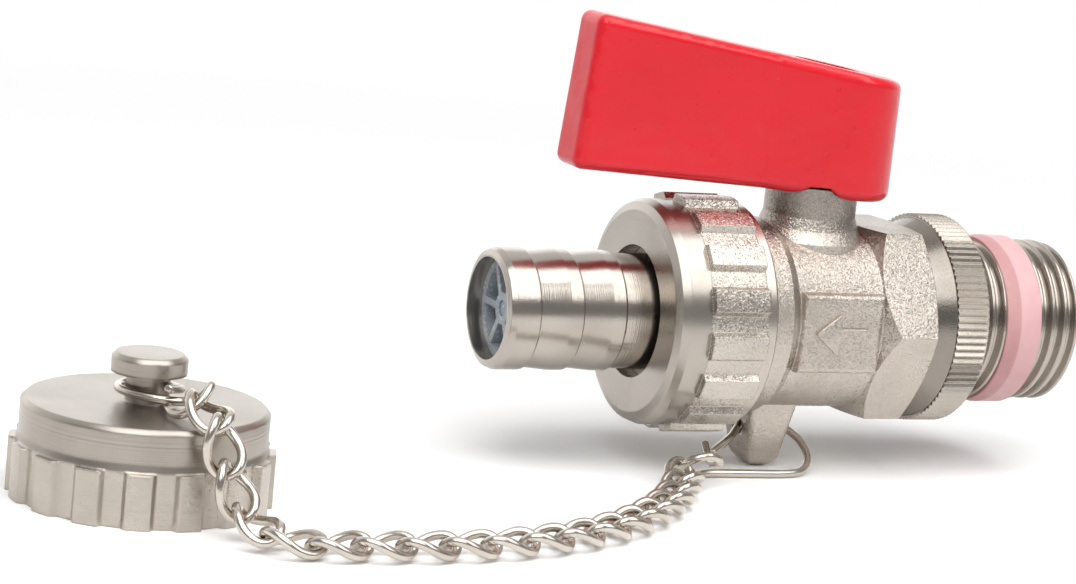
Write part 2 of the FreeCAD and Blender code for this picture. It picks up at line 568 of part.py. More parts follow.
def handle():
    """Lever casting: a flag-shaped arm seen from the side, a drop-shaped hub seen from above."""
    rise_bottom = math.tan(math.radians(HANDLE_BOTTOM_RISE))
    rise_top = math.tan(math.radians(HANDLE_TOP_RISE))
    lean = math.tan(math.radians(HANDLE_TIP_LEAN))
    tip_height = HANDLE_TOP_AT_STEM - HANDLE_BOTTOM_AT_STEM
    tip = -HANDLE_TIP_FROM_STEM
    hub_end = HANDLE_HUB_END + 1
    side = [(tip - lean * tip_height / 2, HANDLE_BOTTOM_AT_STEM), (hub_end, HANDLE_BOTTOM_AT_STEM),
            (hub_end, HANDLE_TOP_AT_STEM), (tip + lean * tip_height / 2, HANDLE_TOP_AT_STEM)]
    rises = [rise_bottom, rise_bottom, rise_top, rise_top]
    reach = HANDLE_HUB_DIA
    corners = [V(STEM_X + x, -reach, z - x * rise) for (x, z), rise in zip(side, rises)]
    flag = Part.Face(Part.makePolygon(corners + corners[:1])).extrude(V(0, 2 * reach, 0))

    half_arm = HANDLE_ARM_THICKNESS / 2
    hub_radius = HANDLE_HUB_DIA / 2
    hub_x = HANDLE_HUB_END - hub_radius
    back = V(-HANDLE_HUB_BACK - hub_x, -half_arm, 0)
    bearing = math.atan2(back.y, back.x) - math.acos(hub_radius / back.Length)
    if math.sin(bearing) > 0 or hub_radius * math.sin(bearing) > -half_arm:
        bearing = math.atan2(back.y, back.x) + math.acos(hub_radius / back.Length)
    touch = V(hub_x + hub_radius * math.cos(bearing), hub_radius * math.sin(bearing), 0)
    far = tip - HANDLE_HUB_DIA
    lower = [V(far, -half_arm, 0), V(-HANDLE_HUB_BACK, -half_arm, 0), touch]
    upper = [V(p.x, -p.y, 0) for p in reversed(lower)]
    lines = [Part.makeLine(a, b) for a, b in zip(lower, lower[1:])]
    nose = Part.Arc(lower[-1], V(HANDLE_HUB_END, 0, 0), upper[0]).toShape()
    lines_back = [Part.makeLine(a, b) for a, b in zip(upper, upper[1:])]
    plan_wire = Part.Wire(lines + [nose] + lines_back + [Part.makeLine(upper[-1], lower[0])])
    plan = Part.Face(plan_wire).extrude(V(0, 0, 4 * HANDLE_TOP_AT_STEM))
    plan.translate(V(STEM_X, 0, -HANDLE_TOP_AT_STEM))

    solid = flag.common(plan)
    solid = solid.makeFillet(HANDLE_ROUNDING, solid.Edges)
    half_square = STEM_SQUARE / 2 + RUNNING_CLEARANCE
    web_z = STEM_TOP_Z + SLIDING_GAP
    head_z = web_z + HANDLE_WEB
    pocket_top = NECK_TOP_Z + STOP_HEIGHT + SLIDING_GAP
    pocket_span = STOP_SPAN + HANDLE_SWING + 2 * STOP_PLAY
    pocket_start = -STOP_SPAN / 2 - STOP_PLAY
    pocket = sector_z(NECK_DIA, STEM_DIA, 0, pocket_top, pocket_start, pocket_span)
    cuts = [box(STEM_X - half_square, STEM_X + half_square, -half_square, half_square, 0, web_z),
            cylinder_z(0, pocket_top, STEM_DIA + 2 * SLIDING_GAP, STEM_X), pocket,
            cylinder_z(0, NECK_TOP_Z + SLIDING_GAP, NECK_DIA + 2 * SLIDING_GAP, STEM_X),
            cylinder_z(0, STEM_TOP_Z * 2, SCREW_DIA + SCREW_HOLE_ROOM, STEM_X),
            cylinder_z(head_z, STEM_TOP_Z * 2, SCREW_WELL_DIA, STEM_X)]
    for cut in cuts:
        solid = solid.cut(cut)
    return solid


def handle_screw():
    """Socket-head screw down through the handle into the stem."""
    head_z = STEM_TOP_Z + SLIDING_GAP + HANDLE_WEB
    top = head_z + SCREW_HEAD_HEIGHT
    solid = cylinder_z(head_z, top, SCREW_HEAD_DIA, STEM_X)
    solid = solid.fuse(cylinder_z(STEM_TOP_Z - SCREW_ENGAGEMENT, head_z, SCREW_DIA, STEM_X))
    radius = SCREW_SOCKET_AF / math.cos(math.pi / 6) / 2
    floor = V(STEM_X, 0, top - SCREW_HEAD_HEIGHT * SCREW_SOCKET_SHARE)
    corners = [polar(radius, a) + floor for a in range(0, 360, 60)]
    socket = Part.Face(Part.makePolygon(corners + corners[:1])).extrude(V(0, 0, SCREW_HEAD_HEIGHT))
    return solid.cut(socket)


def sealing_ring():
    """Self-sealing ring in its groove in the inlet thread, bevelled on the lock nut's side."""
    bore = INLET_THREAD_DIA - 2 * SEAL_RING_GROOVE
    bevel_dia = SEAL_RING_DIA - 2 * SEAL_RING_BEVEL_DEPTH
    return turned_x([(-SEAL_RING_WIDTH, bore), (-SEAL_RING_WIDTH, bevel_dia),
                     (-SEAL_RING_WIDTH + SEAL_RING_BEVEL, SEAL_RING_DIA), (0, SEAL_RING_DIA), (0, bore)])


def lock_nut():
    """Round lock nut: a smooth shoulder, then a knurled band."""
    band_x0 = LOCK_NUT_X0 + LOCK_NUT_SHOULDER
    shoulder = turned_x([(LOCK_NUT_X0, 0), (LOCK_NUT_X0, LOCK_NUT_FACE_DIA),
                         (band_x0, LOCK_NUT_DIA - 2 * LOCK_NUT_STEP), (band_x0, 0)])
    band = laid_along_x(knurled_bar(LOCK_NUT_DIA, KNURL_DEPTH, KNURL_TEETH, LOCK_NUT_X1 - band_x0), band_x0)
    bevel = turned_x([(LOCK_NUT_X0, 0), (LOCK_NUT_X0, LOCK_NUT_DIA),
                      (LOCK_NUT_X1 - LOCK_NUT_BEVEL, LOCK_NUT_DIA),
                      (LOCK_NUT_X1, LOCK_NUT_DIA - 2 * LOCK_NUT_BEVEL), (LOCK_NUT_X1, 0)])
    hole_dia = INLET_THREAD_DIA + 2 * THREAD_CLEARANCE
    return shoulder.fuse(band.common(bevel)).cut(cylinder_x(LOCK_NUT_X0 - 1, LOCK_NUT_X1 + 1, hole_dia))


def union_nut():
    """Union nut: plain front band, fluted grip and a thin plain rim behind."""
    grip_x0 = NUT_X0 + UNION_FRONT_BAND
    grip_x1 = NUT_X1 - UNION_REAR_BAND
    front_dia = UNION_PLAIN_DIA - 2 * UNION_FRONT_CHAMFER
    rear_dia = UNION_PLAIN_DIA - 2 * UNION_REAR_CHAMFER
    bulge = UNION_FRONT_CHAMFER * (1 - math.sqrt(0.5))
    plain = turned_x([(NUT_X0, 0), (NUT_X0, front_dia), (NUT_X0 + bulge, UNION_PLAIN_DIA - 2 * bulge),
                      (NUT_X0 + UNION_FRONT_CHAMFER, UNION_PLAIN_DIA),
                      (NUT_X1 - UNION_REAR_CHAMFER, UNION_PLAIN_DIA), (NUT_X1, rear_dia), (NUT_X1, 0)])
    grip = laid_along_x(fluted_bar(UNION_NUT_DIA, UNION_FLUTE_DIA, grip_x1 - grip_x0), grip_x0)
    solid = plain.fuse(grip)
    solid = solid.cut(cylinder_x(NUT_X0 - 1, NUT_X1 + 1, UNION_HOLE_DIA))
    thread_dia = OUTLET_THREAD_DIA + 2 * THREAD_CLEARANCE
    return solid.cut(cylinder_x(NUT_X0 + UNION_FRONT_WALL, NUT_X1 + 1, thread_dia))


def hose_tail():
    """Turned hose tail: rounded nose, shallow barbs, plain neck and the union's flange."""
    bulge = TAIL_NOSE_ROUNDING * (1 - math.sqrt(0.5))
    outline = [(MOUTH_X, TAIL_MOUTH_BORE), (MOUTH_X, TAIL_BARB_DIA - 2 * TAIL_NOSE_ROUNDING),
               (MOUTH_X + bulge, TAIL_BARB_DIA - 2 * bulge), (MOUTH_X + TAIL_NOSE_ROUNDING, TAIL_BARB_DIA)]
    for i in range(BARB_COUNT):
        crest = MOUTH_X + BARB_FIRST + i * BARB_PITCH
        outline += [(crest - BARB_LAND, TAIL_BARB_DIA), (crest, TAIL_BARB_DIA)]
        outline += [(crest + BARB_STEP, TAIL_ROOT_DIA)]
    outline += [(FLANGE_X0, TAIL_ROOT_DIA + TAIL_NECK_TAPER), (FLANGE_X0, TAIL_FLANGE_DIA),
                (GASKET_X0, TAIL_FLANGE_DIA), (GASKET_X0, TAIL_NECK_BORE),
                (POPPET_SEAT_X, TAIL_NECK_BORE), (POPPET_SEAT_X, TAIL_MOUTH_BORE)]
    return turned_x(outline)


def union_gasket():
    """Flat gasket between the tail's flange and the body's spigot."""
    return ring_x(GASKET_X0, GASKET_X0 + GASKET_THICKNESS, TAIL_FLANGE_DIA, GASKET_BORE)


def check_cage():
    """Plastic cage pressed into the tail's mouth: ring, hub and spokes."""
    outer = TAIL_MOUTH_BORE
    hub = cylinder_x(CAGE_X0, CAGE_X1, CAGE_HUB_DIA)
    spokes = []
    spoke_end = (outer - CAGE_RING_WALL) / 2
    for i in range(CAGE_SPOKES):
        spoke = box(CAGE_X0, CAGE_X1, 0, spoke_end, -CAGE_SPOKE_WIDTH / 2, CAGE_SPOKE_WIDTH / 2)
        spoke.rotate(V(), X_AXIS, i * 360.0 / CAGE_SPOKES)
        spokes.append(spoke)
    ring = ring_x(CAGE_X0, CAGE_X1, outer, outer - 2 * CAGE_RING_WALL)
    bore = cylinder_x(CAGE_X0 - 1, CAGE_X1 + 1, POPPET_STEM_DIA + 2 * RUNNING_CLEARANCE)
    return hub.multiFuse(spokes + [ring]).removeSplitter().cut(bore)


def check_poppet():
    """Check-valve disc with the stem that slides in the cage's hub."""
    seat_x = POPPET_SEAT_X - RUNNING_CLEARANCE
    disc_x0 = seat_x - POPPET_DISC_THICKNESS
    stem_x0 = CAGE_X0 + POPPET_STEM_INSET
    return turned_x([(stem_x0, 0), (stem_x0, POPPET_STEM_DIA), (disc_x0, POPPET_STEM_DIA),
                     (disc_x0, POPPET_DISC_DIA - 2 * POPPET_EDGE), (disc_x0 + POPPET_EDGE, POPPET_DISC_DIA),
                     (seat_x, POPPET_DISC_DIA), (seat_x, 0)])


def check_spring():
    """Light coil spring between the cage's hub and the disc."""
    end_gap = SPRING_WIRE_DIA / 2 + RUNNING_CLEARANCE
    x0 = CAGE_X1 + end_gap
    x1 = POPPET_SEAT_X - RUNNING_CLEARANCE - POPPET_DISC_THICKNESS - end_gap
    count = SPRING_TURNS * SPRING_POINTS
    points = []
    for i in range(count + 1):
        angle = 2 * math.pi * i * SPRING_TURNS / count
        radius = SPRING_MEAN_DIA / 2
        points.append(V(x0 + (x1 - x0) * i / count, radius * math.cos(angle), radius * math.sin(angle)))
    return wire_tube(points, SPRING_WIRE_DIA, False)


def cap():
    """Closure cap with a fluted band, a plain upper band and a mushroom knob."""
    step_z = FLOOR_Z + CAP_BAND_HEIGHT
    knob_z = CAP_TOP_Z + KNOB_HEIGHT
    head_z = knob_z - KNOB_HEAD_THICKNESS
    body = turned_z([(FLOOR_Z, 0), (FLOOR_Z, CAP_FLUTE_DIA), (step_z, CAP_FLUTE_DIA),
                     (step_z + CAP_STEP_HEIGHT, CAP_UPPER_DIA),
                     (CAP_TOP_Z - CAP_EDGE_CHAMFER, CAP_UPPER_DIA),
                     (CAP_TOP_Z, CAP_UPPER_DIA - 2 * CAP_EDGE_CHAMFER), (CAP_TOP_Z, 0)])
    knob = turned_z([(CAP_TOP_Z - 1, 0), (CAP_TOP_Z - 1, KNOB_NECK_DIA), (head_z, KNOB_NECK_DIA),
                     (head_z, KNOB_HEAD_DIA), (knob_z - KNOB_HEAD_CHAMFER, KNOB_HEAD_DIA),
                     (knob_z, KNOB_HEAD_DIA - 2 * KNOB_HEAD_CHAMFER), (knob_z, 0)])
    grip = fluted_bar(CAP_BAND_DIA, CAP_FLUTE_DIA, CAP_BAND_HEIGHT)
    grip.translate(V(0, 0, FLOOR_Z))
    end_z = CAP_TOP_Z - CAP_END_WALL
    hollow = cylinder_z(FLOOR_Z - 1, end_z, CAP_THREAD_MINOR_DIA)
    seat_room = cylinder_z(end_z - CAP_GASKET_THICKNESS, end_z, CAP_GASKET_DIA)
    solid = body.multiFuse([knob, grip]).removeSplitter().cut(hollow).cut(seat_room)
    solid.translate(V(CAP_X, CAP_Y, 0))
    return solid


def cap_gasket():
    """Rubber disc in its recess at the cap's end."""
    end_z = CAP_TOP_Z - CAP_END_WALL
    return cylinder_z(end_z - CAP_GASKET_THICKNESS, end_z, CAP_GASKET_DIA, CAP_X, CAP_Y)


def lug_clip():
    """Wire clip in a figure of eight: through the lug's hole and round the last link."""
    drop = LUG_HOLE_Z - CLIP_LOW_Z
    side, front = LUG_BASE_LENGTH / 2, LUG_BASE_WIDTH / 2
    route = [(-2.2 * side, -0.94 * front, 0.40), (-1.24 * side, -0.47 * front, 0.71),
             (-0.65 * side, -0.09 * front, 0.98), (0.0, 0.0, 1.0), (0.7 * side, -0.04 * front, 0.98),
             (1.32 * side, -0.49 * front, 0.69), (1.4 * side, -1.06 * front, 0.33),
             (0.97 * side, -1.49 * front, 0.06), (0.22 * side, -1.64 * front, 0.0),
             (-1.22 * side, -1.62 * front, 0.0), (-2.57 * side, -1.57 * front, 0.0)]
    eye = LINK_WIDTH / 2
    tilt = math.tan(math.radians(EYE_TILT))
    for x, y in [(1.13, 1.13), (0.23, 0.6), (0.0, 0.0), (0.26, -0.6), (1.06, -0.87), (1.81, -0.45)]:
        rise = max(0.0, LUG_EYE_RISE - y * eye * tilt)
        route.append((LUG_EYE_X + x * eye, LUG_EYE_Y + y * eye, rise / drop))
    route += [(-2.78 * side, -1.79 * front, 0.34), (-2.68 * side, -1.36 * front, 0.49),
              (-2.59 * side, -1.04 * front, 0.66)]
    points = [V(LUG_X + x, y, CLIP_LOW_Z + rise * drop) for x, y, rise in route]
    return wire_tube(smooth_path(points, CLIP_STEPS), CLIP_WIRE_DIA, False)


def cap_clip():
    """Wire clip in a figure of eight: round the knob's neck and round the first link."""
    wide = (KNOB_NECK_DIA + CLIP_WIRE_DIA) / 2 + CLIP_GAP
    room = (KNOB_HEIGHT - KNOB_HEAD_THICKNESS) / 2
    eye = LINK_WIDTH / 2
    route = [(1.84 * wide, -0.36 * wide, 1.7 * room), (1.36 * wide, 0.39 * wide, 1.4 * room),
             (0.68 * wide, 0.86 * wide, 1.06 * room)]
    for degrees in range(90, 271, 36):
        bend = polar(wide, degrees)
        route.append((bend.x, bend.y, 0.88 * room))
    route += [(0.68 * wide, -0.86 * wide, 0.88 * room), (1.36 * wide, -0.39 * wide, 0.82 * room),
              (1.87 * wide, 0.27 * wide, 0.82 * room), (CAP_EYE - 1.09 * eye, 0.75 * eye, 1.4 * room)]
    tilt = math.tan(math.radians(EYE_TILT))
    for reach, aside in [(-0.34, 0.64), (0.0, 0.0), (-0.26, -0.6), (-0.83, -0.75)]:
        route.append((CAP_EYE + reach * eye, aside * eye, CAP_EYE_RISE + aside * eye * tilt))
    route += [(CAP_EYE - 1.28 * eye, -0.68 * eye, CLIP_WIRE_DIA),
              (CAP_EYE - 1.62 * eye, -0.57 * eye, CLIP_WIRE_DIA)]
    points = [cap_point(reach, aside, CAP_TOP_Z + z) for reach, aside, z in route]
    return wire_tube(smooth_path(points, CLIP_STEPS), CLIP_WIRE_DIA, False)


def cap_point(reach, aside, z):
    """Point by the cap, out along the chain's direction and aside from it."""
    out = polar(reach, CHAIN_OFF_CAP_ANGLE) + polar(aside, CHAIN_OFF_CAP_ANGLE + 90)
    return V(CAP_X + out.x, CAP_Y + out.y, z)


def chain_route(bow):
    """Middle line of the chain: over the cap's edge, then in a bow over the surface."""
    half_wires = (LINK_WIRE_DIA + CLIP_WIRE_DIA) / 4 + LINK_GAP / 2
    edge = CAP_UPPER_DIA / 2
    band = CAP_BAND_DIA / 2
    lying = FLOOR_Z + CHAIN_LYING_SHARE * LINK_WIDTH
    off = CHAIN_LANDS_FROM_CAP
    route = [cap_point(CAP_EYE - half_wires, 0, CAP_TOP_Z + CAP_EYE_RISE),
             cap_point(edge - 0.07 * off, 0, CAP_TOP_Z + 0.2 * CAP_HEIGHT),
             cap_point(edge + 0.16 * off, 0, CAP_TOP_Z + 0.01 * CAP_HEIGHT),
             cap_point(band + 0.2 * off, 0.02 * off, CAP_TOP_Z - 0.38 * CAP_HEIGHT),
             cap_point(band + 0.33 * off, 0.07 * off, FLOOR_Z + 0.34 * CAP_HEIGHT)]
    start = cap_point(band + off, 0.22 * off, lying)
    end = V(LUG_X + LUG_EYE_X + half_wires, LUG_EYE_Y, CLIP_LOW_Z + LUG_EYE_RISE)
    span = V(end.x - start.x, end.y - start.y, 0)
    front = V(span.y, -span.x, 0).normalize()
    for i in range(BOW_SPANS):
        share = i / BOW_SPANS
        route.append(start + span * share + front * (4 * bow * share * (1 - share)))
    return smooth_path(route + [end], 16)


def pitch_points(path, pitch):
    """Points one pitch apart along a path, and how many pitches the path holds."""
    points = [path[0]]
    for before, after in zip(path, path[1:]):
        reach = (after - points[-1]).Length
        if reach >= pitch:
            inner = (before - points[-1]).Length
            points.append(before + (after - before) * ((pitch - inner) / (reach - inner)))
    return points, len(points) - 1 + (path[-1] - points[-1]).Length / pitch


def chain_points():
    """Places where links meet: a whole number of links, and the bow that lets them just reach."""
    link_count = round(pitch_points(chain_route(CHAIN_BOW), LINK_PITCH)[1])
    slack, full = 0.0, LUG_X - CAP_X
    for _ in range(40):
        bow = (slack + full) / 2
        if pitch_points(chain_route(bow), LINK_PITCH)[1] > link_count:
            full = bow
        else:
            slack = bow
    return pitch_points(chain_route(full), LINK_PITCH)[0]


def chain_link(before, after):
    """One curb link: an oval of wire twisted about its length, between two meeting places."""
    half_length = (LINK_PITCH + LINK_WIRE_DIA + LINK_GAP) / 2
    half_width = (LINK_WIDTH - LINK_WIRE_DIA) / 2
    middle = (before + after) * 0.5
    along = (after - before).normalize()
    from_cap = V(middle.x - CAP_X, middle.y - CAP_Y, 0).normalize()
    height = (middle.z - FLOOR_Z - LINK_WIDTH / 3) / CAP_HEIGHT
    outward = Z_AXIS + from_cap * min(1.0, max(0.0, 3 * height))
    across = outward.cross(along).normalize()
    up = along.cross(across)
    points = []
    for i in range(LINK_POINTS):
        turn = 2 * math.pi * i / LINK_POINTS
        twist = math.radians(LINK_HALF_TWIST) * math.cos(turn)
        off = half_width * math.sin(turn)
        points.append(middle + along * (half_length * math.cos(turn))
                      + across * (off * math.cos(twist)) + up * (off * math.sin(twist)))
    return wire_tube(points, LINK_WIRE_DIA, True)


def main():
    """Write one solid to a file for each piece."""
    os.makedirs("parts", exist_ok=True)
    pieces = {
        "valve_body": valve_body(), "inlet_seat": seat(True), "outlet_seat": seat(False),
        "seat_retainer": seat_retainer(), "ball": ball(), "stem": stem(), "stem_o_ring": stem_o_ring(),
        "thrust_washer": thrust_washer(), "handle": handle(), "handle_screw": handle_screw(),
        "sealing_ring": sealing_ring(), "lock_nut": lock_nut(), "union_nut": union_nut(),
        "hose_tail": hose_tail(), "union_gasket": union_gasket(), "check_cage": check_cage(),
        "check_poppet": check_poppet(), "check_spring": check_spring(), "cap": cap(),
        "cap_gasket": cap_gasket(), "lug_clip": lug_clip(), "cap_clip": cap_clip(),
    }
    meeting = chain_points()
    for i, (before, after) in enumerate(zip(meeting, meeting[1:])):
        pieces["chain_link_%02d" % (i + 1)] = chain_link(before, after)
    for name, shape in pieces.items():
        shape.exportStep("parts/" + name + ".step")


if __name__ == "__main__":
    main()
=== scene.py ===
"""Dresses the boiler drain cock: plated castings, painted lever, threads, chain, light and camera.

Sizes are in millimetres in the row frame, as in the part's source, and become metres in the meshes.
"""
import logging
import math
from dataclasses import dataclass
from enum import Enum

import bmesh
import bpy
import numpy as np
from mathutils import Matrix, Vector


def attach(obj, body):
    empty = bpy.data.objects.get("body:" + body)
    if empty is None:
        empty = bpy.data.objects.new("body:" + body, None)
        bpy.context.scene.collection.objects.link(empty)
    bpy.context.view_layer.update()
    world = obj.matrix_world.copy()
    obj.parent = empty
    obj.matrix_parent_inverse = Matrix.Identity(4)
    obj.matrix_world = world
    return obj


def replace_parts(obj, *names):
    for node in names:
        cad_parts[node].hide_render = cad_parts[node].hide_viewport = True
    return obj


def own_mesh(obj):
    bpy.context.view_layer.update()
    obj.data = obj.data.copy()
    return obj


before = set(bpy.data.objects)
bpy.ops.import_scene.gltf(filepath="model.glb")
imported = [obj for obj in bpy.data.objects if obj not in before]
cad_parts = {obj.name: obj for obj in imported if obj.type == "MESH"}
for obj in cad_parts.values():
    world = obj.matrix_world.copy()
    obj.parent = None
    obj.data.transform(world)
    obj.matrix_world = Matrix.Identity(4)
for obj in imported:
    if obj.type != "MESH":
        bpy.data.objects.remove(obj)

LOG = logging.getLogger("drain_cock")
MM = 0.001
Colour = tuple[float, float, float]
Place = tuple[float, float, float]
Range = tuple[float, float]
Stretch = tuple[str, float, float]
Socket = bpy.types.NodeSocket
Value = Socket | float | Colour

BLACK: Colour = (0.0, 0.0, 0.0)
WHITE: Colour = (1.0, 1.0, 1.0)
UPWARD: Place = (0.0, 0.0, 1.0)

# Wires: points round one, and the rings that close a cut end: how far out and wide, in radii.
WIRE_SIDES = 20
CUT_REACH = (0.3, 0.3, 0.2)
CUT_WIDTH = (0.001, 0.75, 0.92)

# Noise: its layers, its middle, and the spans in which patches and grain come up.
NOISE_DETAIL = 3.0
NOISE_MIDDLE = 0.5
PATCH_SPAN: Range = (0.35, 0.7)
GRAIN_SPAN: Range = (0.3, 0.7)
EDGE_SAMPLES = 6


class Turning(Enum):
    """Axis that the tool marks of a turned piece run round, then the two axes across it."""

    NONE = ""
    PIPE = "XYZ"
    CAP = "ZXY"


class Ends(Enum):
    """How the first and last ring of a swept surface are finished."""

    OPEN = "open"
    JOINED = "joined"
    CAPPED = "capped"


# Meshes


def mesh_piece(name: str, points: np.ndarray, faces: np.ndarray) -> bpy.types.Object:
    """Makes a smooth-shaded object of a point array and a quad array.

    Args:
        name: Name of the object.
        points: Points in millimetres, one row each.
        faces: Quads as rows of four point numbers.

    Returns:
        The object, at the origin, linked to the scene.
    """
    mesh = bpy.data.meshes.new(name)
    mesh.from_pydata((points * MM).tolist(), [], faces.tolist())
    mesh.polygons.foreach_set("use_smooth", np.ones(len(mesh.polygons), dtype=bool))
    mesh.update()
    piece = bpy.data.objects.new(name, mesh)
    bpy.context.collection.objects.link(piece)
    return piece


def grid_faces(rows: int, columns: int, ends: Ends) -> np.ndarray:
    """Quads of a grid whose columns close on themselves.

    Args:
        rows: Number of rings.
        columns: Points in a ring.
        ends: JOINED closes the last ring on the first.

    Returns:
        Rows of four point numbers.
    """
    i = np.arange(rows if ends is Ends.JOINED else rows - 1)[:, None]
    k = np.arange(columns)[None, :]
    here, there = i * columns, (i + 1) % rows * columns
    after = (k + 1) % columns
    quads = np.stack([here + k, here + after, there + after, there + k], axis=-1)
    return quads.reshape(-1, 4)


def unit(vectors: np.ndarray) -> np.ndarray:
    """Vectors at length one."""
    return vectors / np.linalg.norm(vectors, axis=-1, keepdims=True)


def smooth_path(points: np.ndarray, steps: int) -> np.ndarray:
    """Curve through points: each span is the cubic that leaves a point along its neighbours' chord.

    Args:
        points: Points to pass through.
        steps: Steps to a span.

    Returns:
        Points of the curve.
    """
    padded = np.vstack([points[:1], points, points[-1:]])
    a, b, c, d = (padded[i:len(padded) - 3 + i, None, :] for i in range(4))
    t = (np.arange(steps) / steps)[None, :, None]
    path = 0.5 * (2 * b + (c - a) * t + (2 * a - 5 * b + 4 * c - d) * t**2
                  + (3 * b - a - 3 * c + d) * t**3)
    return np.vstack([path.reshape(-1, 3), points[-1:]])


def wire_piece(name: str, path: np.ndarray, outward: np.ndarray, radius: float,
               ends: Ends) -> bpy.types.Object:
    """Round wire: a circle square to the path, its first spoke as near to outward as it can be.

    Args:
        name: Name of the object.
        path: Points of the wire's middle line.
        outward: A vector to a point, never along the path.
        radius: Radius of the wire.
        ends: JOINED for a ring, CAPPED for a cut wire with slightly rounded ends.

    Returns:
        The object.
    """
    if ends is Ends.JOINED:
        tangent = np.roll(path, -1, axis=0) - np.roll(path, 1, axis=0)
        swell = np.ones(len(path))
    else:
        rings = len(CUT_REACH)
        reach = np.array(CUT_REACH)[:, None]
        lead = unit(path[:1] - path[1:2]) * radius
        tail = unit(path[-1:] - path[-2:-1]) * radius
        path = np.vstack([path[:1] + reach * lead, path, path[-1:] + reach[::-1] * tail])
        outward = np.pad(outward, ((rings, rings), (0, 0)), mode="edge")
        tangent = np.gradient(path, axis=0)
        tangent[:rings], tangent[-rings:] = -lead, tail
        swell = np.ones(len(path))
        swell[:rings], swell[-rings:] = CUT_WIDTH, CUT_WIDTH[::-1]
    tangent = unit(tangent)
    spoke = unit(outward - tangent * (outward * tangent).sum(axis=1, keepdims=True))
    side = np.cross(tangent, spoke)
    angle = np.linspace(0, 2 * np.pi, WIRE_SIDES, endpoint=False)[None, :, None]
    ring = np.cos(angle) * spoke[:, None, :] + np.sin(angle) * side[:, None, :]
    points = path[:, None, :] + radius * swell[:, None, None] * ring
    return mesh_piece(name, points.reshape(-1, 3), grid_faces(len(path), WIRE_SIDES, ends))


# Materials


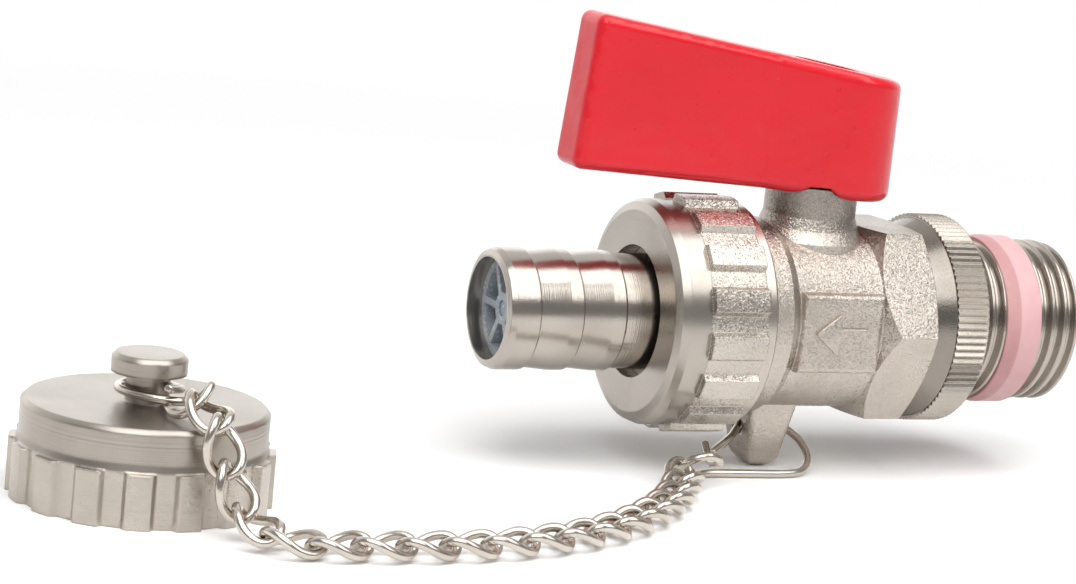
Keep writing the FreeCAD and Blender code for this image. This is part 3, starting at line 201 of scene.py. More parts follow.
class Sheet:
    """Node sheet of one material or world, with short calls for the nodes that the finishes use."""

    def __init__(self, owner: bpy.types.Material | bpy.types.World) -> None:
        """Starts the node tree of a new material or world, with Object coordinates.

        Args:
            owner: The material or world.
        """
        self.owner = owner
        owner.use_nodes = True
        self.nodes, self.links = owner.node_tree.nodes, owner.node_tree.links
        self.place = self.nodes.new("ShaderNodeTexCoord").outputs["Object"]

    def put(self, node: bpy.types.Node, name: str | int, value: Value) -> None:
        """Links a socket to an input, or sets the input to a number or colour.

        Args:
            node: Node that has the input.
            name: Name or number of the input.
            value: What it gets.
        """
        target = node.inputs[name]
        if isinstance(value, bpy.types.NodeSocket):
            self.links.new(value, target)
        elif isinstance(value, tuple) and target.type == "RGBA":
            target.default_value = (*value, 1.0)
        else:
            target.default_value = value

    def noise(self, size_mm: float, detail: float = NOISE_DETAIL,
              along: Socket | None = None) -> Socket:
        """Noise with grains of about that size, from 0 to 1.

        Args:
            size_mm: Size of a grain.
            detail: Layers of finer noise.
            along: A length to run along alone, which draws the grains out into tool marks.

        Returns:
            The noise.
        """
        node = self.nodes.new("ShaderNodeTexNoise")
        if along is None:
            self.put(node, "Vector", self.place)
        else:
            node.noise_dimensions = "1D"
            self.put(node, "W", along)
        self.put(node, "Scale", 1.0 / (size_mm * MM))
        self.put(node, "Detail", detail)
        return node.outputs["Fac"]

    def split(self, vector: Socket) -> bpy.types.NodeOutputs:
        """The X, Y and Z of a vector.

        Args:
            vector: The vector.

        Returns:
            Outputs named X, Y and Z.
        """
        node = self.nodes.new("ShaderNodeSeparateXYZ")
        self.put(node, "Vector", vector)
        return node.outputs

    def shifted(self, x_mm: float, y_mm: float, z_mm: float) -> Socket:
        """Object coordinates counted from another point.

        Args:
            x_mm: X of the point.
            y_mm: Y of the point.
            z_mm: Z of the point.

        Returns:
            The coordinates, in metres.
        """
        node = self.nodes.new("ShaderNodeMapping")
        self.put(node, "Vector", self.place)
        self.put(node, "Location", (-x_mm * MM, -y_mm * MM, -z_mm * MM))
        return node.outputs["Vector"]

    def math(self, operation: str, first: Value, second: Value = 0.0) -> Socket:
        """One sum of two values.

        Args:
            operation: Blender's name for the sum.
            first: First value.
            second: Second value, where the sum has one.

        Returns:
            The result.
        """
        node = self.nodes.new("ShaderNodeMath")
        node.operation = operation
        self.put(node, 0, first)
        self.put(node, 1, second)
        return node.outputs["Value"]

    def weighed(self, first: Socket, share: float, second: Socket, other: float) -> Socket:
        """Sum of two values, each times its weight."""
        return self.math("ADD", self.math("MULTIPLY", first, share),
                         self.math("MULTIPLY", second, other))

    def length(self, first: Socket, second: Socket) -> Socket:
        """Length of a flat vector: the root of the sum of its squares."""
        squares = (self.math("MULTIPLY", value, value) for value in (first, second))
        return self.math("SQRT", self.math("ADD", *squares))

    def span(self, value: Socket, low: float, high: float, to_low: float, to_high: float) -> Socket:
        """Carries one span of values to another, held at its ends.

        Args:
            value: What is carried.
            low: Start of the first span.
            high: End of the first span.
            to_low: What the start becomes.
            to_high: What the end becomes.

        Returns:
            The carried value.
        """
        node = self.nodes.new("ShaderNodeMapRange")
        limits = {"From Min": low, "From Max": high, "To Min": to_low, "To Max": to_high}
        for name, number in limits.items():
            self.put(node, name, number)
        self.put(node, "Value", value)
        return node.outputs["Result"]

    def blend(self, share: Socket, first: Value, second: Value) -> Socket:
        """Colour between two colours, which are inputs 6 and 7 of the node.

        Args:
            share: Share of the second colour.
            first: First colour.
            second: Second colour.

        Returns:
            The colour.
        """
        node = self.nodes.new("ShaderNodeMix")
        node.data_type = "RGBA"
        self.put(node, "Factor", share)
        self.put(node, 6, first)
        self.put(node, 7, second)
        return node.outputs[2]

    def vector(self, operation: str, *values: Value) -> Socket:
        """One sum of vectors; a vector to SCALE is followed by a number.

        Args:
            operation: Blender's name for the sum.
            values: Vectors, or a vector and a number.

        Returns:
            The vector.
        """
        node = self.nodes.new("ShaderNodeVectorMath")
        node.operation = operation
        names = ("Vector", "Scale") if operation == "SCALE" else range(len(values))
        for name, value in zip(names, values):
            self.put(node, name, value)
        return node.outputs["Vector"]

    def facets(self, size_mm: float, tilt: Value, normal: Socket) -> Socket:
        """Normal of a blasted surface: cells of about that size, each leaning its own way.

        Args:
            size_mm: Size of a cell.
            tilt: How far a cell may lean, 0 for not at all.
            normal: Normal of the surface under them.

        Returns:
            The normal.
        """
        cells = self.nodes.new("ShaderNodeTexVoronoi")
        self.put(cells, "Vector", self.place)
        self.put(cells, "Scale", 1.0 / (size_mm * MM))
        lean = self.vector("SUBTRACT", cells.outputs["Color"], (NOISE_MIDDLE,) * 3)
        leaning = self.vector("ADD", self.vector("SCALE", lean, tilt), normal)
        return self.vector("NORMALIZE", leaning)

    def inside(self, axis: str, low_mm: float, high_mm: float, soft_mm: float = 0.2) -> Socket:
        """One between two places on an axis, nothing outside them.

        Args:
            axis: X, Y or Z.
            low_mm: Lower place.
            high_mm: Upper place.
            soft_mm: Width of the change, outside the places.

        Returns:
            The share, from 0 to 1.
        """
        value = self.split(self.place)[axis]
        low, high, soft = low_mm * MM, high_mm * MM, soft_mm * MM
        return self.math("MULTIPLY", self.span(value, low - soft, low, 0.0, 1.0),
                         self.span(value, high, high + soft, 1.0, 0.0))

    def rounded(self, radius_mm: float) -> Socket:
        """Normal of the surface as if its edges were rounded.

        Args:
            radius_mm: Radius of the rounding.

        Returns:
            The normal.
        """
        node = self.nodes.new("ShaderNodeBevel")
        node.samples = EDGE_SAMPLES
        self.put(node, "Radius", radius_mm * MM)
        return node.outputs["Normal"]

    def bump(self, height: Socket, depth_mm: float, normal: Socket) -> Socket:
        """Normal of a surface with that height over it.

        Args:
            height: Height, about 0 to 1.
            depth_mm: What a height of 1 stands for.
            normal: Normal of the surface under it.

        Returns:
            The normal.
        """
        node = self.nodes.new("ShaderNodeBump")
        self.put(node, "Strength", 1.0)
        self.put(node, "Distance", depth_mm * MM)
        self.put(node, "Height", height)
        self.put(node, "Normal", normal)
        return node.outputs["Normal"]

    def rays(self) -> tuple[Socket, Socket]:
        """One for rays from the camera, and one for rays off metal or through glass.

        Returns:
            The two values, each 0 or 1.
        """
        light = self.nodes.new("ShaderNodeLightPath").outputs
        mirrored = self.math("MAXIMUM", light["Is Glossy Ray"], light["Is Transmission Ray"])
        return light["Is Camera Ray"], mirrored

    def finish(self, **sockets: Value) -> bpy.types.Material:
        """Sets the shader's inputs, underscores for spaces, and gives the material.

        Args:
            sockets: What each named input gets.

        Returns:
            The material.
        """
        for name, value in sockets.items():
            self.put(self.nodes["Principled BSDF"], name.replace("_", " "), value)
        return self.owner


@dataclass(frozen=True)
class Zone:
    """Stretch of an axis, in millimetres, where a plate is brighter or darker."""

    axis: str
    low: float
    high: float
    gain: float
    soft: float = 0.2

    def factor(self, sheet: Sheet) -> Socket:
        """The gain inside the stretch, one outside it."""
        inside = sheet.inside(self.axis, self.low, self.high, self.soft)
        return sheet.span(inside, 0.0, 1.0, 1.0, self.gain)


@dataclass(frozen=True)
class NickelPlate:
    """Nickel plate over brass: a warm grey metal with grain, patches and tool marks.

    The grain's height runs either side of nothing. Stain, polish, and a painted sparkle follow it:
    painted highlights on its peaks and painted shade in its hollows. Each span gives the heights
    between which they come up.
    """

    name: str
    tint: Colour
    shade: Colour
    polish: Range
    grain_mm: float
    grain_depth_mm: float
    turning: Turning = Turning.NONE
    mark_mm: float = 0.12
    mark_depth_mm: float = 0.0
    edge_mm: float = 0.18
    axis_mm: Place = (0.0, 0.0, 0.0)
    grain_in: Stretch | None = None
    # How strong the painted sparkle is: painted highlights and painted shade on the grain.
    painted_sparkle: float = 0.0
    facet_mm: float = 0.3
    facet_tilt: float = 0.0
    zones: tuple[Zone, ...] = ()
    patch_mm: float = 9.0
    patch_stain: float = 0.7
    stain_span: Range = (-0.2, 0.2)
    stain_share: Range = (0.6, 1.0)
    # Painted sparkle: spans and tints of the painted highlights on the grain's peaks and of the
    # painted shade in its hollows.
    painted_highlight_span: Range = (0.0, 0.13)
    painted_highlight_tint: Colour = (1.0, 0.95, 0.88)
    painted_pit_shade_span: Range = (-0.16, -0.02)
    painted_pit_shade_tint: Colour = (0.32, 0.28, 0.24)
    polish_span: Range = (0.0, 0.4)
    grain_in_polish: float = 0.6
    patches_in_polish: float = 0.4

    def across(self, sheet: Sheet) -> Socket:
        """Length that the tool marks are spaced along: along the turning axis plus out from it.

        Args:
            sheet: Sheet to work on.

        Returns:
            The length, in metres.
        """
        place = sheet.split(sheet.shifted(*self.axis_mm))
        along, *out = self.turning.value
        return sheet.math("ADD", place[along], sheet.length(*(place[axis] for axis in out)))

    def material(self) -> bpy.types.Material:
        """Builds the node material.

        Returns:
            The material.
        """
        sheet = Sheet(bpy.data.materials.new(self.name))
        patches = sheet.noise(self.patch_mm)
        height = sheet.math("SUBTRACT", sheet.noise(self.grain_mm), NOISE_MIDDLE)
        tilt = self.facet_tilt
        if self.grain_in:
            inside = sheet.inside(*self.grain_in)
            height = sheet.math("MULTIPLY", height, inside)
            tilt = sheet.math("MULTIPLY", inside, self.facet_tilt)
        stain = sheet.math("MULTIPLY", sheet.span(patches, *PATCH_SPAN, 0.0, self.patch_stain),
                           sheet.span(height, *self.stain_span, *self.stain_share))
        colour = sheet.blend(stain, self.tint, self.shade)
        for zone in self.zones:
            colour = sheet.vector("SCALE", colour, zone.factor(sheet))
        # Painted sparkle: the grain's peaks get a painted highlight tint, its hollows a painted
        # shade tint.
        if self.painted_sparkle:
            painted_highlights = sheet.span(height, *self.painted_highlight_span, 0.0, self.painted_sparkle)
            painted_pit_shades = sheet.span(height, *self.painted_pit_shade_span, self.painted_sparkle, 0.0)
            colour = sheet.blend(painted_highlights, colour, self.painted_highlight_tint)
            colour = sheet.blend(painted_pit_shades, colour, self.painted_pit_shade_tint)
        wear = sheet.weighed(height, self.grain_in_polish, patches, self.patches_in_polish)
        rough = sheet.span(wear, *self.polish_span, *self.polish)
        normal = sheet.rounded(self.edge_mm)
        if self.facet_tilt:
            normal = sheet.facets(self.facet_mm, tilt, normal)
        normal = sheet.bump(height, self.grain_depth_mm, normal)
        if self.turning is not Turning.NONE:
            marks = sheet.noise(self.mark_mm, along=self.across(sheet))
            normal = sheet.bump(marks, self.mark_depth_mm, normal)
        return sheet.finish(Base_Color=colour, Metallic=1.0, Roughness=rough, Normal=normal)


@dataclass(frozen=True)
class GlossPaint:
    """Thick dipped paint: a soft orange peel with small craters, under a clear gloss."""

    name: str
    tint: Colour
    shade: Colour
    patch_mm: float = 14.0
    patch_detail: float = 2.0
    peel_mm: float = 3.2
    peel_depth_mm: float = 0.14
    peel_detail: float = 1.0
    crater_mm: float = 0.9
    crater_span: Range = (0.7, 0.78)
    crater_share: float = 0.3
    edge_mm: float = 0.35
    polish: Range = (0.3, 0.4)
    specular: float = 0.2
    coat: float = 0.5
    coat_roughness: float = 0.04

    def material(self) -> bpy.types.Material:
        """Builds the node material.

        Returns:
            The material.
        """
        sheet = Sheet(bpy.data.materials.new(self.name))
        patches = sheet.span(sheet.noise(self.patch_mm, self.patch_detail), *PATCH_SPAN, 0.0, 1.0)
        peel = sheet.noise(self.peel_mm, self.peel_detail)
        spots = sheet.noise(self.crater_mm, self.peel_detail)
        craters = sheet.span(spots, *self.crater_span, 0.0, 1.0)
        colour = sheet.blend(patches, self.tint, self.shade)
        height = sheet.math("SUBTRACT", peel, sheet.math("MULTIPLY", craters, self.crater_share))
        normal = sheet.bump(height, self.peel_depth_mm, sheet.rounded(self.edge_mm))
        rough = sheet.span(peel, *GRAIN_SPAN, *self.polish)
        return sheet.finish(Base_Color=colour, Roughness=rough, Normal=normal, Coat_Normal=normal,
                            Specular_IOR_Level=self.specular, Coat_Weight=self.coat,
                            Coat_Roughness=self.coat_roughness)


@dataclass(frozen=True)
class SoftStuff:
    """Plastic or rubber: mottled, with a fine moulded or cut grain, painted shade past one place.
    """

    name: str
    tint: Colour
    shade: Colour
    polish: Range
    grain_mm: float
    grain_depth_mm: float
    see_through: float = 0.0
    scatter: float = 0.0
    painted_shade_below_x_mm: float | None = None
    painted_shade_soft_mm: float = 0.1
    painted_shade_share: float = 0.75
    mottle_mm: float = 3.0
    edge_mm: float = 0.2
    scatter_mm: float = 0.5
    ior: float = 1.45

    def material(self) -> bpy.types.Material:
        """Builds the node material.

        Returns:
            The material.
        """
        sheet = Sheet(bpy.data.materials.new(self.name))
        grain = sheet.noise(self.grain_mm)
        mottle_and_painted_shade = sheet.span(sheet.noise(self.mottle_mm), *PATCH_SPAN, 0.0, 1.0)
        # Painted shade: below that x the colour goes towards the darker tint, standing in for the
        # shade on the ring's chamfer.
        if self.painted_shade_below_x_mm is not None:
            edge, soft = self.painted_shade_below_x_mm * MM, self.painted_shade_soft_mm * MM
            side = sheet.span(sheet.split(sheet.place)["X"], edge - soft, edge + soft, 1.0, 0.0)
            mottle_and_painted_shade = sheet.weighed(side, self.painted_shade_share, mottle_and_painted_shade, 1.0 - self.painted_shade_share)
        colour = sheet.blend(mottle_and_painted_shade, self.tint, self.shade)
        normal = sheet.bump(grain, self.grain_depth_mm, sheet.rounded(self.edge_mm))
        rough = sheet.span(grain, *GRAIN_SPAN, *self.polish)
        return sheet.finish(Base_Color=colour, Roughness=rough, Normal=normal,
                            Transmission_Weight=self.see_through, Subsurface_Weight=self.scatter,
                            Subsurface_Scale=self.scatter_mm * MM, IOR=self.ior)


CAP_AXIS: Place = (-119.0, -14.0, 0.0)
CAP_BAND: Stretch = ("Z", -20.0, -13.2)
GRIP_FLUTES: Stretch = ("X", -48.95, -41.45)
# Painted shade: the blasted plate's zone darkens the neck from 12.6 to 20 mm up, under the lever.
BLASTED = NickelPlate(
    "blasted_nickel", (0.53, 0.475, 0.42), (0.41, 0.365, 0.315), (0.22, 0.42), 0.21, 0.08,
    painted_sparkle=0.12, facet_mm=0.2, facet_tilt=0.3, zones=(Zone("Z", 12.6, 20.0, 0.64, 1.8),))
TURNED = NickelPlate(
    "turned_nickel", (0.45, 0.41, 0.368), (0.34, 0.306, 0.268), (0.15, 0.27), 0.2, 0.006,
    Turning.PIPE, 0.16, 0.012)
GRIP = NickelPlate(
    "grip_nickel", (0.54, 0.495, 0.445), (0.41, 0.37, 0.325), (0.20, 0.33), 0.26, 0.055,
    Turning.PIPE, 0.2, 0.008, grain_in=GRIP_FLUTES, painted_sparkle=0.1, facet_mm=0.2, facet_tilt=0.22,
    zones=(Zone("X", -60.0, -48.95, 0.8),))
# Painted shade: the knurled plate's zone darkens the lock nut's chamfer, from x -17 to -13.9 mm.
KNURL = NickelPlate(
    "knurl_nickel", (0.45, 0.41, 0.36), (0.32, 0.285, 0.245), (0.18, 0.30), 0.25, 0.012,
    Turning.PIPE, 0.2, 0.008, zones=(Zone("X", -17.0, -13.9, 0.6),))
CAP_METAL = NickelPlate(
    "cap_nickel", (0.41, 0.372, 0.33), (0.32, 0.289, 0.253), (0.24, 0.38), 0.2, 0.012,
    Turning.CAP, 0.26, 0.03, edge_mm=0.45, axis_mm=CAP_AXIS, grain_in=CAP_BAND,
    facet_mm=0.2, facet_tilt=0.12, zones=(Zone(*CAP_BAND, 1.25),))
WIRE = NickelPlate(
    "wire_nickel", (0.62, 0.57, 0.51), (0.44, 0.39, 0.335), (0.14, 0.26), 0.4, 0.01)
BALL = NickelPlate(
    "ball_chrome", (0.80, 0.80, 0.81), (0.72, 0.72, 0.73), (0.05, 0.1), 0.4, 0.001)
STEM_BRASS = NickelPlate(
    "bare_brass", (0.78, 0.60, 0.30), (0.62, 0.46, 0.21), (0.22, 0.34), 0.25, 0.006)
SCREW = NickelPlate(
    "screw_steel", (0.50, 0.51, 0.53), (0.36, 0.37, 0.39), (0.24, 0.36), 0.2, 0.006)
LEVER_RED = GlossPaint("red_paint", (0.80, 0.011, 0.025), (0.73, 0.009, 0.02))
# The pink ring's left side, below x -3 mm, is painted shade.
RING_PINK = SoftStuff(
    "pink_ring", (0.82, 0.50, 0.51), (0.60, 0.31, 0.31), (0.42, 0.56), 0.5, 0.02,
    scatter=0.15, painted_shade_below_x_mm=-3.0)
SEAT_WHITE = SoftStuff(
    "white_seat", (0.86, 0.86, 0.84), (0.80, 0.80, 0.78), (0.35, 0.5), 0.4, 0.006)
RUBBER = SoftStuff(
    "black_rubber", (0.035, 0.035, 0.036), (0.022, 0.022, 0.023), (0.55, 0.75), 0.3, 0.02)
MILKY = SoftStuff(
    "clear_plastic", (0.60, 0.66, 0.72), (0.48, 0.54, 0.61), (0.18, 0.3), 0.5, 0.004,
    see_through=0.35, scatter=0.2)


def dress(names: list[str], finish: NickelPlate | GlossPaint | SoftStuff) -> None:
    """Gives CAD nodes a finish.

    Args:
        names: Names of the nodes.
        finish: What to build the material from.
    """
    material = finish.material()
    for name in names:
        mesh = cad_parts[name].data
        mesh.materials.clear()
        mesh.materials.append(material)
        LOG.info("dressed %s with %s", name, finish.name)


# Sub-assemblies


@dataclass
class PipeThread:
    """Right-hand pipe thread on a spigot, cut as one helix."""

    name: str
    x0: float
    x1: float
    crest_radius: float
    pitch: float = 1.814
    depth: float = 1.05
    end_chamfer: float = 0.9
    bore_radius: float = 0.0
    crest_share: float = 0.16
    flank_share: float = 0.68
    columns: int = 144
    rows_per_pitch: int = 16

    def radius(self, x: np.ndarray, turn: np.ndarray) -> np.ndarray:
        """Radius over place and turn: a rounded V that moves one pitch along in a turn.

        Args:
            x: Places along the pipe.
            turn: Angles round it.

        Returns:
            Radii, held under the chamfer at the free end.
        """
        wave = np.abs((x / self.pitch + turn / (2 * np.pi)) % 1.0 - 0.5) * 2.0
        cut = np.clip((wave - self.crest_share) / self.flank_share, 0.0, 1.0)
        cut = cut * cut * (3 - 2 * cut)
        cone = self.crest_radius - np.clip(x - (self.x1 - self.end_chamfer), 0.0, None)
        return np.minimum(self.crest_radius - self.depth * cut, cone)

    def build(self, body: str) -> bpy.types.Object:
        """Sweeps the radius round the pipe and closes the free end to the bore.

        Args:
            body: CAD body that the thread rides on.

        Returns:
            The thread.
        """
        rows = int((self.x1 - self.x0) / self.pitch * self.rows_per_pitch)
        x = np.linspace(self.x0, self.x1, rows)[:, None]
        turn = np.linspace(0, 2 * np.pi, self.columns, endpoint=False)[None, :]
        radius = self.radius(x, turn)
        if self.bore_radius:
            x = np.vstack([x, x[-1:], x[-1:]])
            bore = np.full((1, self.columns), self.bore_radius)
            radius = np.vstack([radius, radius[-1:], bore])
        place = np.broadcast_to(x, radius.shape)
        points = np.stack([place, -radius * np.sin(turn), radius * np.cos(turn)], axis=-1)
        faces = grid_faces(len(radius), self.columns, Ends.OPEN)[:, ::-1]
        piece = mesh_piece(self.name, points.reshape(-1, 3), faces)
        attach(piece, body)
        LOG.info("built %s with %d points", self.name, points.size // 3)
        return piece


@dataclass
class BodyCasting:
    """The valve's casting with real threads in place of the plain cylinders of the solid."""

    thread_x0: float = -16.15
    thread_x1: float = 6.6
    thread_radius: float = 10.4775
    bore_radius: float = 7.4975
    spigot_x0: float = -48.05
    spigot_x1: float = -41.45
    spigot_radius: float = 13.2205
    spigot_depth: float = 0.9
    slip: float = 0.02
    wall: float = 1.0
    double_m: float = 1e-7
    crease_angle: float = math.radians(8)
    arrow_crease: float = math.radians(30)
    pad_x: float = -29.75
    pad_y: float = -12.15

    def casting(self) -> bpy.types.Object:
        """Copies the solid's mesh without the faces that the threads stand for.

        Faces of the solid stay smooth inside, and their borders are creased where they meet at an
        angle.

        Returns:
            The casting.
        """
        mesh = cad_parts["valve_body"].data.copy()
        work = bmesh.new()
        work.from_mesh(mesh)
        for edge in work.edges:
            edge.seam = edge.is_boundary
        bmesh.ops.remove_doubles(work, verts=work.verts, dist=self.double_m)
        for face in work.faces:
            face.smooth = True
        for edge in work.edges:
            edge.smooth = not edge.seam or edge.calc_face_angle(math.pi) < self.crease_angle
            edge.seam = False
        gone = [face for face in work.faces if self.is_thread(face)]
        bmesh.ops.delete(work, geom=gone, context="FACES")
        work.to_mesh(mesh)
        work.free()
        mesh.materials.clear()
        piece = bpy.data.objects.new("body_casting", mesh)
        bpy.context.collection.objects.link(piece)
        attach(piece, "valve")
        return piece

    def is_thread(self, face: bmesh.types.BMFace) -> bool:
        """Whether a face lies on the outside of a threaded end.

        Args:
            face: Face of the solid's mesh.

        Returns:
            True for a face that a thread replaces.
        """
        middle = face.calc_center_median() / MM
        radius = math.hypot(middle.y, middle.z)
        if middle.x > self.thread_x0 + self.slip and radius > self.bore_radius + self.slip:
            return True
        on_spigot = self.spigot_x0 + self.slip < middle.x < self.spigot_x1 - self.slip
        return on_spigot and radius > self.spigot_radius - self.wall

    def arrow(self) -> bpy.types.Object:
        """Plain flow arrow on the pad.

        A raised profile is carried along the arrow, as wide as the arrow is at each place.

        Returns:
            The arrow.
        """
        along = np.array([-3.7, -3.6, 0.4, 0.5, 0.6, 3.4, 3.7])[:, None]
        half_width = np.array([0.001, 0.8, 0.8, 2.6, 2.6, 0.4, 0.001])[:, None]
        across = np.array([-1.0, -1.0, -0.86, 0.86, 1.0, 1.0])[None, :]
        rise = np.array([-0.1, 0.3, 0.42, 0.42, 0.3, -0.1])[None, :]
        grid = np.broadcast_arrays(self.pad_x - along, self.pad_y - rise, half_width * across)
        points = np.stack(grid, axis=-1)
        faces = grid_faces(*points.shape[:2], Ends.OPEN)[:, ::-1]
        piece = mesh_piece("flow_arrow", points.reshape(-1, 3), faces)
        piece.data.set_sharp_from_angle(angle=self.arrow_crease)
        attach(piece, "valve")
        return piece

    def build(self) -> None:
        """Builds and dresses the casting, its threads and the arrow."""
        cast = BLASTED.material()
        turned = TURNED.material()
        casting = self.casting()
        casting.data.materials.append(cast)
        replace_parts(casting, "valve_body")
        inlet = PipeThread("inlet_thread", self.thread_x0, self.thread_x1, self.thread_radius,
                           bore_radius=self.bore_radius)
        spigot = PipeThread("outlet_thread", self.spigot_x0, self.spigot_x1, self.spigot_radius,
                            depth=self.spigot_depth, end_chamfer=0.0)
        for thread in (inlet.build("valve"), spigot.build("valve")):
            thread.data.materials.append(turned)
        arrow = self.arrow()
        arrow.data.materials.append(cast)
        dress(["inlet_seat", "outlet_seat", "thrust_washer"], SEAT_WHITE)
        dress(["seat_retainer", "hose_tail"], TURNED)
        dress(["lock_nut"], KNURL)
        dress(["sealing_ring"], RING_PINK)


@dataclass
class SafetyChain:
    """Twisted curb chain between the cap's and the lug's clip, over the cap's edge and the floor.

    The shares in the tables below are those of the part's source, so that each wire lies in its
    solid.
    """

    floor_z: float = -19.5
    cap_x: float = -119.0
    cap_y: float = -14.0
    cap_height: float = 11.0
    cap_radius: float = 14.0
    band_radius: float = 15.0
    knob_height: float = 5.6
    knob_head: float = 2.2
    knob_neck_radius: float = 2.5
    off_angle: float = -75.0
    lands_off: float = 11.0
    eye_reach: float = 7.7
    cap_eye_rise: float = 2.6
    lug_x: float = -33.75
    lug_hole_z: float = -14.2
    lug_length: float = 7.4
    lug_width: float = 9.4
    lug_eye_x: float = -15.9
    lug_eye_y: float = -11.2
    lug_eye_rise: float = 1.7
    eye_tilt: float = 42.0
    wire: float = 1.0
    clip_gap: float = 0.35
    rest_gap: float = 0.05
    link_wire: float = 1.1
    link_gap: float = 0.5
    link_width: float = 5.3
    link_twist: float = 45.0
    pitch: float = 5.0
    links: int = 19
    bow_limit: float = 60.0
    bow_halvings: int = 40
    stations: int = 8
    route_steps: int = 16
    clip_steps: int = 14
    link_steps: int = 72

    def __post_init__(self) -> None:
        """Works out the places that follow from the sizes."""
        self.top_z = self.floor_z + self.cap_height
        self.low_z = self.floor_z + self.wire / 2 + self.rest_gap
        self.wide = self.knob_neck_radius + self.wire / 2 + self.clip_gap
        self.eye = self.wide + self.eye_reach
        self.tilt = math.tan(math.radians(self.eye_tilt))

    def by_cap(self, reach: np.ndarray, aside: np.ndarray, z: np.ndarray) -> np.ndarray:
        """Points by the cap, out along the chain's direction and aside from it.

        Args:
            reach: Distances out from the cap's axis.
            aside: Distances to the left of that.
            z: Heights.

        Returns:
            The points.
        """
        turn = math.radians(self.off_angle)
        x = self.cap_x + np.cos(turn) * reach - np.sin(turn) * aside
        y = self.cap_y + np.sin(turn) * reach + np.cos(turn) * aside
        return np.stack(np.broadcast_arrays(x, y, z), axis=-1)

    def route(self, bow: float) -> np.ndarray:
        """Middle line of the chain: over the cap's edge, then a parabola of that bow on the floor.

        Args:
            bow: How far the parabola stands off its chord.

        Returns:
            Points of the line.
        """
        half_wires = (self.link_wire + self.wire) / 4 + self.link_gap / 2
        off, tall = self.lands_off, self.cap_height
        reach = np.array([self.eye - half_wires,
                          self.cap_radius - 0.07 * off, self.cap_radius + 0.16 * off,
                          self.band_radius + 0.2 * off, self.band_radius + 0.33 * off])
        aside = np.array([0.0, 0.0, 0.0, 0.02 * off, 0.07 * off])
        z = np.array([self.top_z + self.cap_eye_rise,
                      self.top_z + 0.2 * tall, self.top_z + 0.01 * tall,
                      self.top_z - 0.38 * tall, self.floor_z + 0.34 * tall])
        start = self.by_cap(self.band_radius + off, 0.22 * off,
                            self.floor_z + 0.31 * self.link_width)
        end = np.array([self.lug_x + self.lug_eye_x + half_wires, self.lug_eye_y,
                        self.low_z + self.lug_eye_rise])
        span = (end - start) * (1, 1, 0)
        front = unit(np.array([span[1], -span[0], 0.0]))
        share = (np.arange(self.stations) / self.stations)[:, None]
        lying = start + span * share + front * (4 * bow * share * (1 - share))
        return smooth_path(np.vstack([self.by_cap(reach, aside, z), lying, end]), self.route_steps)

    def meetings(self, bow: float) -> np.ndarray:
        """Places one pitch apart along the route.

        Args:
            bow: Bow of the route.

        Returns:
            Places, as many as the route holds.
        """
        path = self.route(bow)
        places, last = [path[0]], 0
        while True:
            reach = np.linalg.norm(path[last:] - places[-1], axis=1)
            over = np.flatnonzero(reach >= self.pitch)
            if not len(over):
                return np.array(places)
            after = last + over[0]
            inner = np.linalg.norm(path[after - 1] - places[-1])
            share = (self.pitch - inner) / (reach[over[0]] - inner)
            places.append(path[after - 1] + (path[after] - path[after - 1]) * share)
            last = after

    def link(self, number: int, before: np.ndarray, after: np.ndarray) -> bpy.types.Object:
        """One link: an oval whose plane turns from -45 to +45 degrees along it.

        A link that hangs beside the cap faces away from it, and one on the floor faces up.

        Args:
            number: Count of the link, from the cap.
            before: Place where it meets the link before it.
            after: Place where it meets the link after it.

        Returns:
            The link.
        """
        half_length = (self.pitch + self.link_wire + self.link_gap) / 2
        half_width = (self.link_width - self.link_wire) / 2
        middle, along = (before + after) / 2, unit(after - before)
        from_cap = unit((middle - (self.cap_x, self.cap_y, 0)) * (1, 1, 0))
        height = (middle[2] - self.floor_z - self.link_width / 3) / self.cap_height
        outward = np.array(UPWARD) + from_cap * min(1.0, max(0.0, 3 * height))
        across = unit(np.cross(outward, along))
        up = np.cross(along, across)
        turn = np.linspace(0, 2 * np.pi, self.link_steps, endpoint=False)[:, None]
        twist = math.radians(self.link_twist) * np.cos(turn)
        off = half_width * np.sin(turn)
        spread = across * (off * np.cos(twist)) + up * (off * np.sin(twist))
        path = middle + along * (half_length * np.cos(turn)) + spread
        name = f"wire_link_{number:02d}"
        piece = wire_piece(name, path, path - middle, self.link_wire / 2, Ends.JOINED)
        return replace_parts(piece, f"chain_link_{number:02d}")

    def clip(self, name: str, points: np.ndarray) -> bpy.types.Object:
        """Cut wire bent through points.

        Args:
            name: Name of the object.
            points: Points that its middle line passes.

        Returns:
            The wire.
        """
        path = smooth_path(points, self.clip_steps)
        upward = np.broadcast_to(UPWARD, path.shape)
        return wire_piece(name, path, upward, self.wire / 2, Ends.CAPPED)

    def lug_clip(self) -> bpy.types.Object:
        """Figure of eight through the lug's hole and round the last link.

        Returns:
            The clip.
        """
        eye = self.link_width / 2
        scale = (self.lug_length / 2, self.lug_width / 2, self.lug_hole_z - self.low_z)
        loop = np.array([(-2.2, -0.94, 0.40), (-1.24, -0.47, 0.71), (-0.65, -0.09, 0.98),
                         (0.0, 0.0, 1.0), (0.7, -0.04, 0.98), (1.32, -0.49, 0.69),
                         (1.4, -1.06, 0.33), (0.97, -1.49, 0.06), (0.22, -1.64, 0.0),
                         (-1.22, -1.62, 0.0), (-2.57, -1.57, 0.0)]) * scale
        turn = np.array([(1.13, 1.13), (0.23, 0.6), (0.0, 0.0), (0.26, -0.6), (1.06, -0.87),
                         (1.81, -0.45)]) * eye
        rise = np.maximum(0.0, self.lug_eye_rise - turn[:, 1:] * self.tilt)
        turn = np.hstack([turn + (self.lug_eye_x, self.lug_eye_y), rise])
        end = np.array([(-2.78, -1.79, 0.34), (-2.68, -1.36, 0.49), (-2.59, -1.04, 0.66)]) * scale
        points = np.vstack([loop, turn, end]) + (self.lug_x, 0, self.low_z)
        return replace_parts(self.clip("lug_wire", points), "lug_clip")

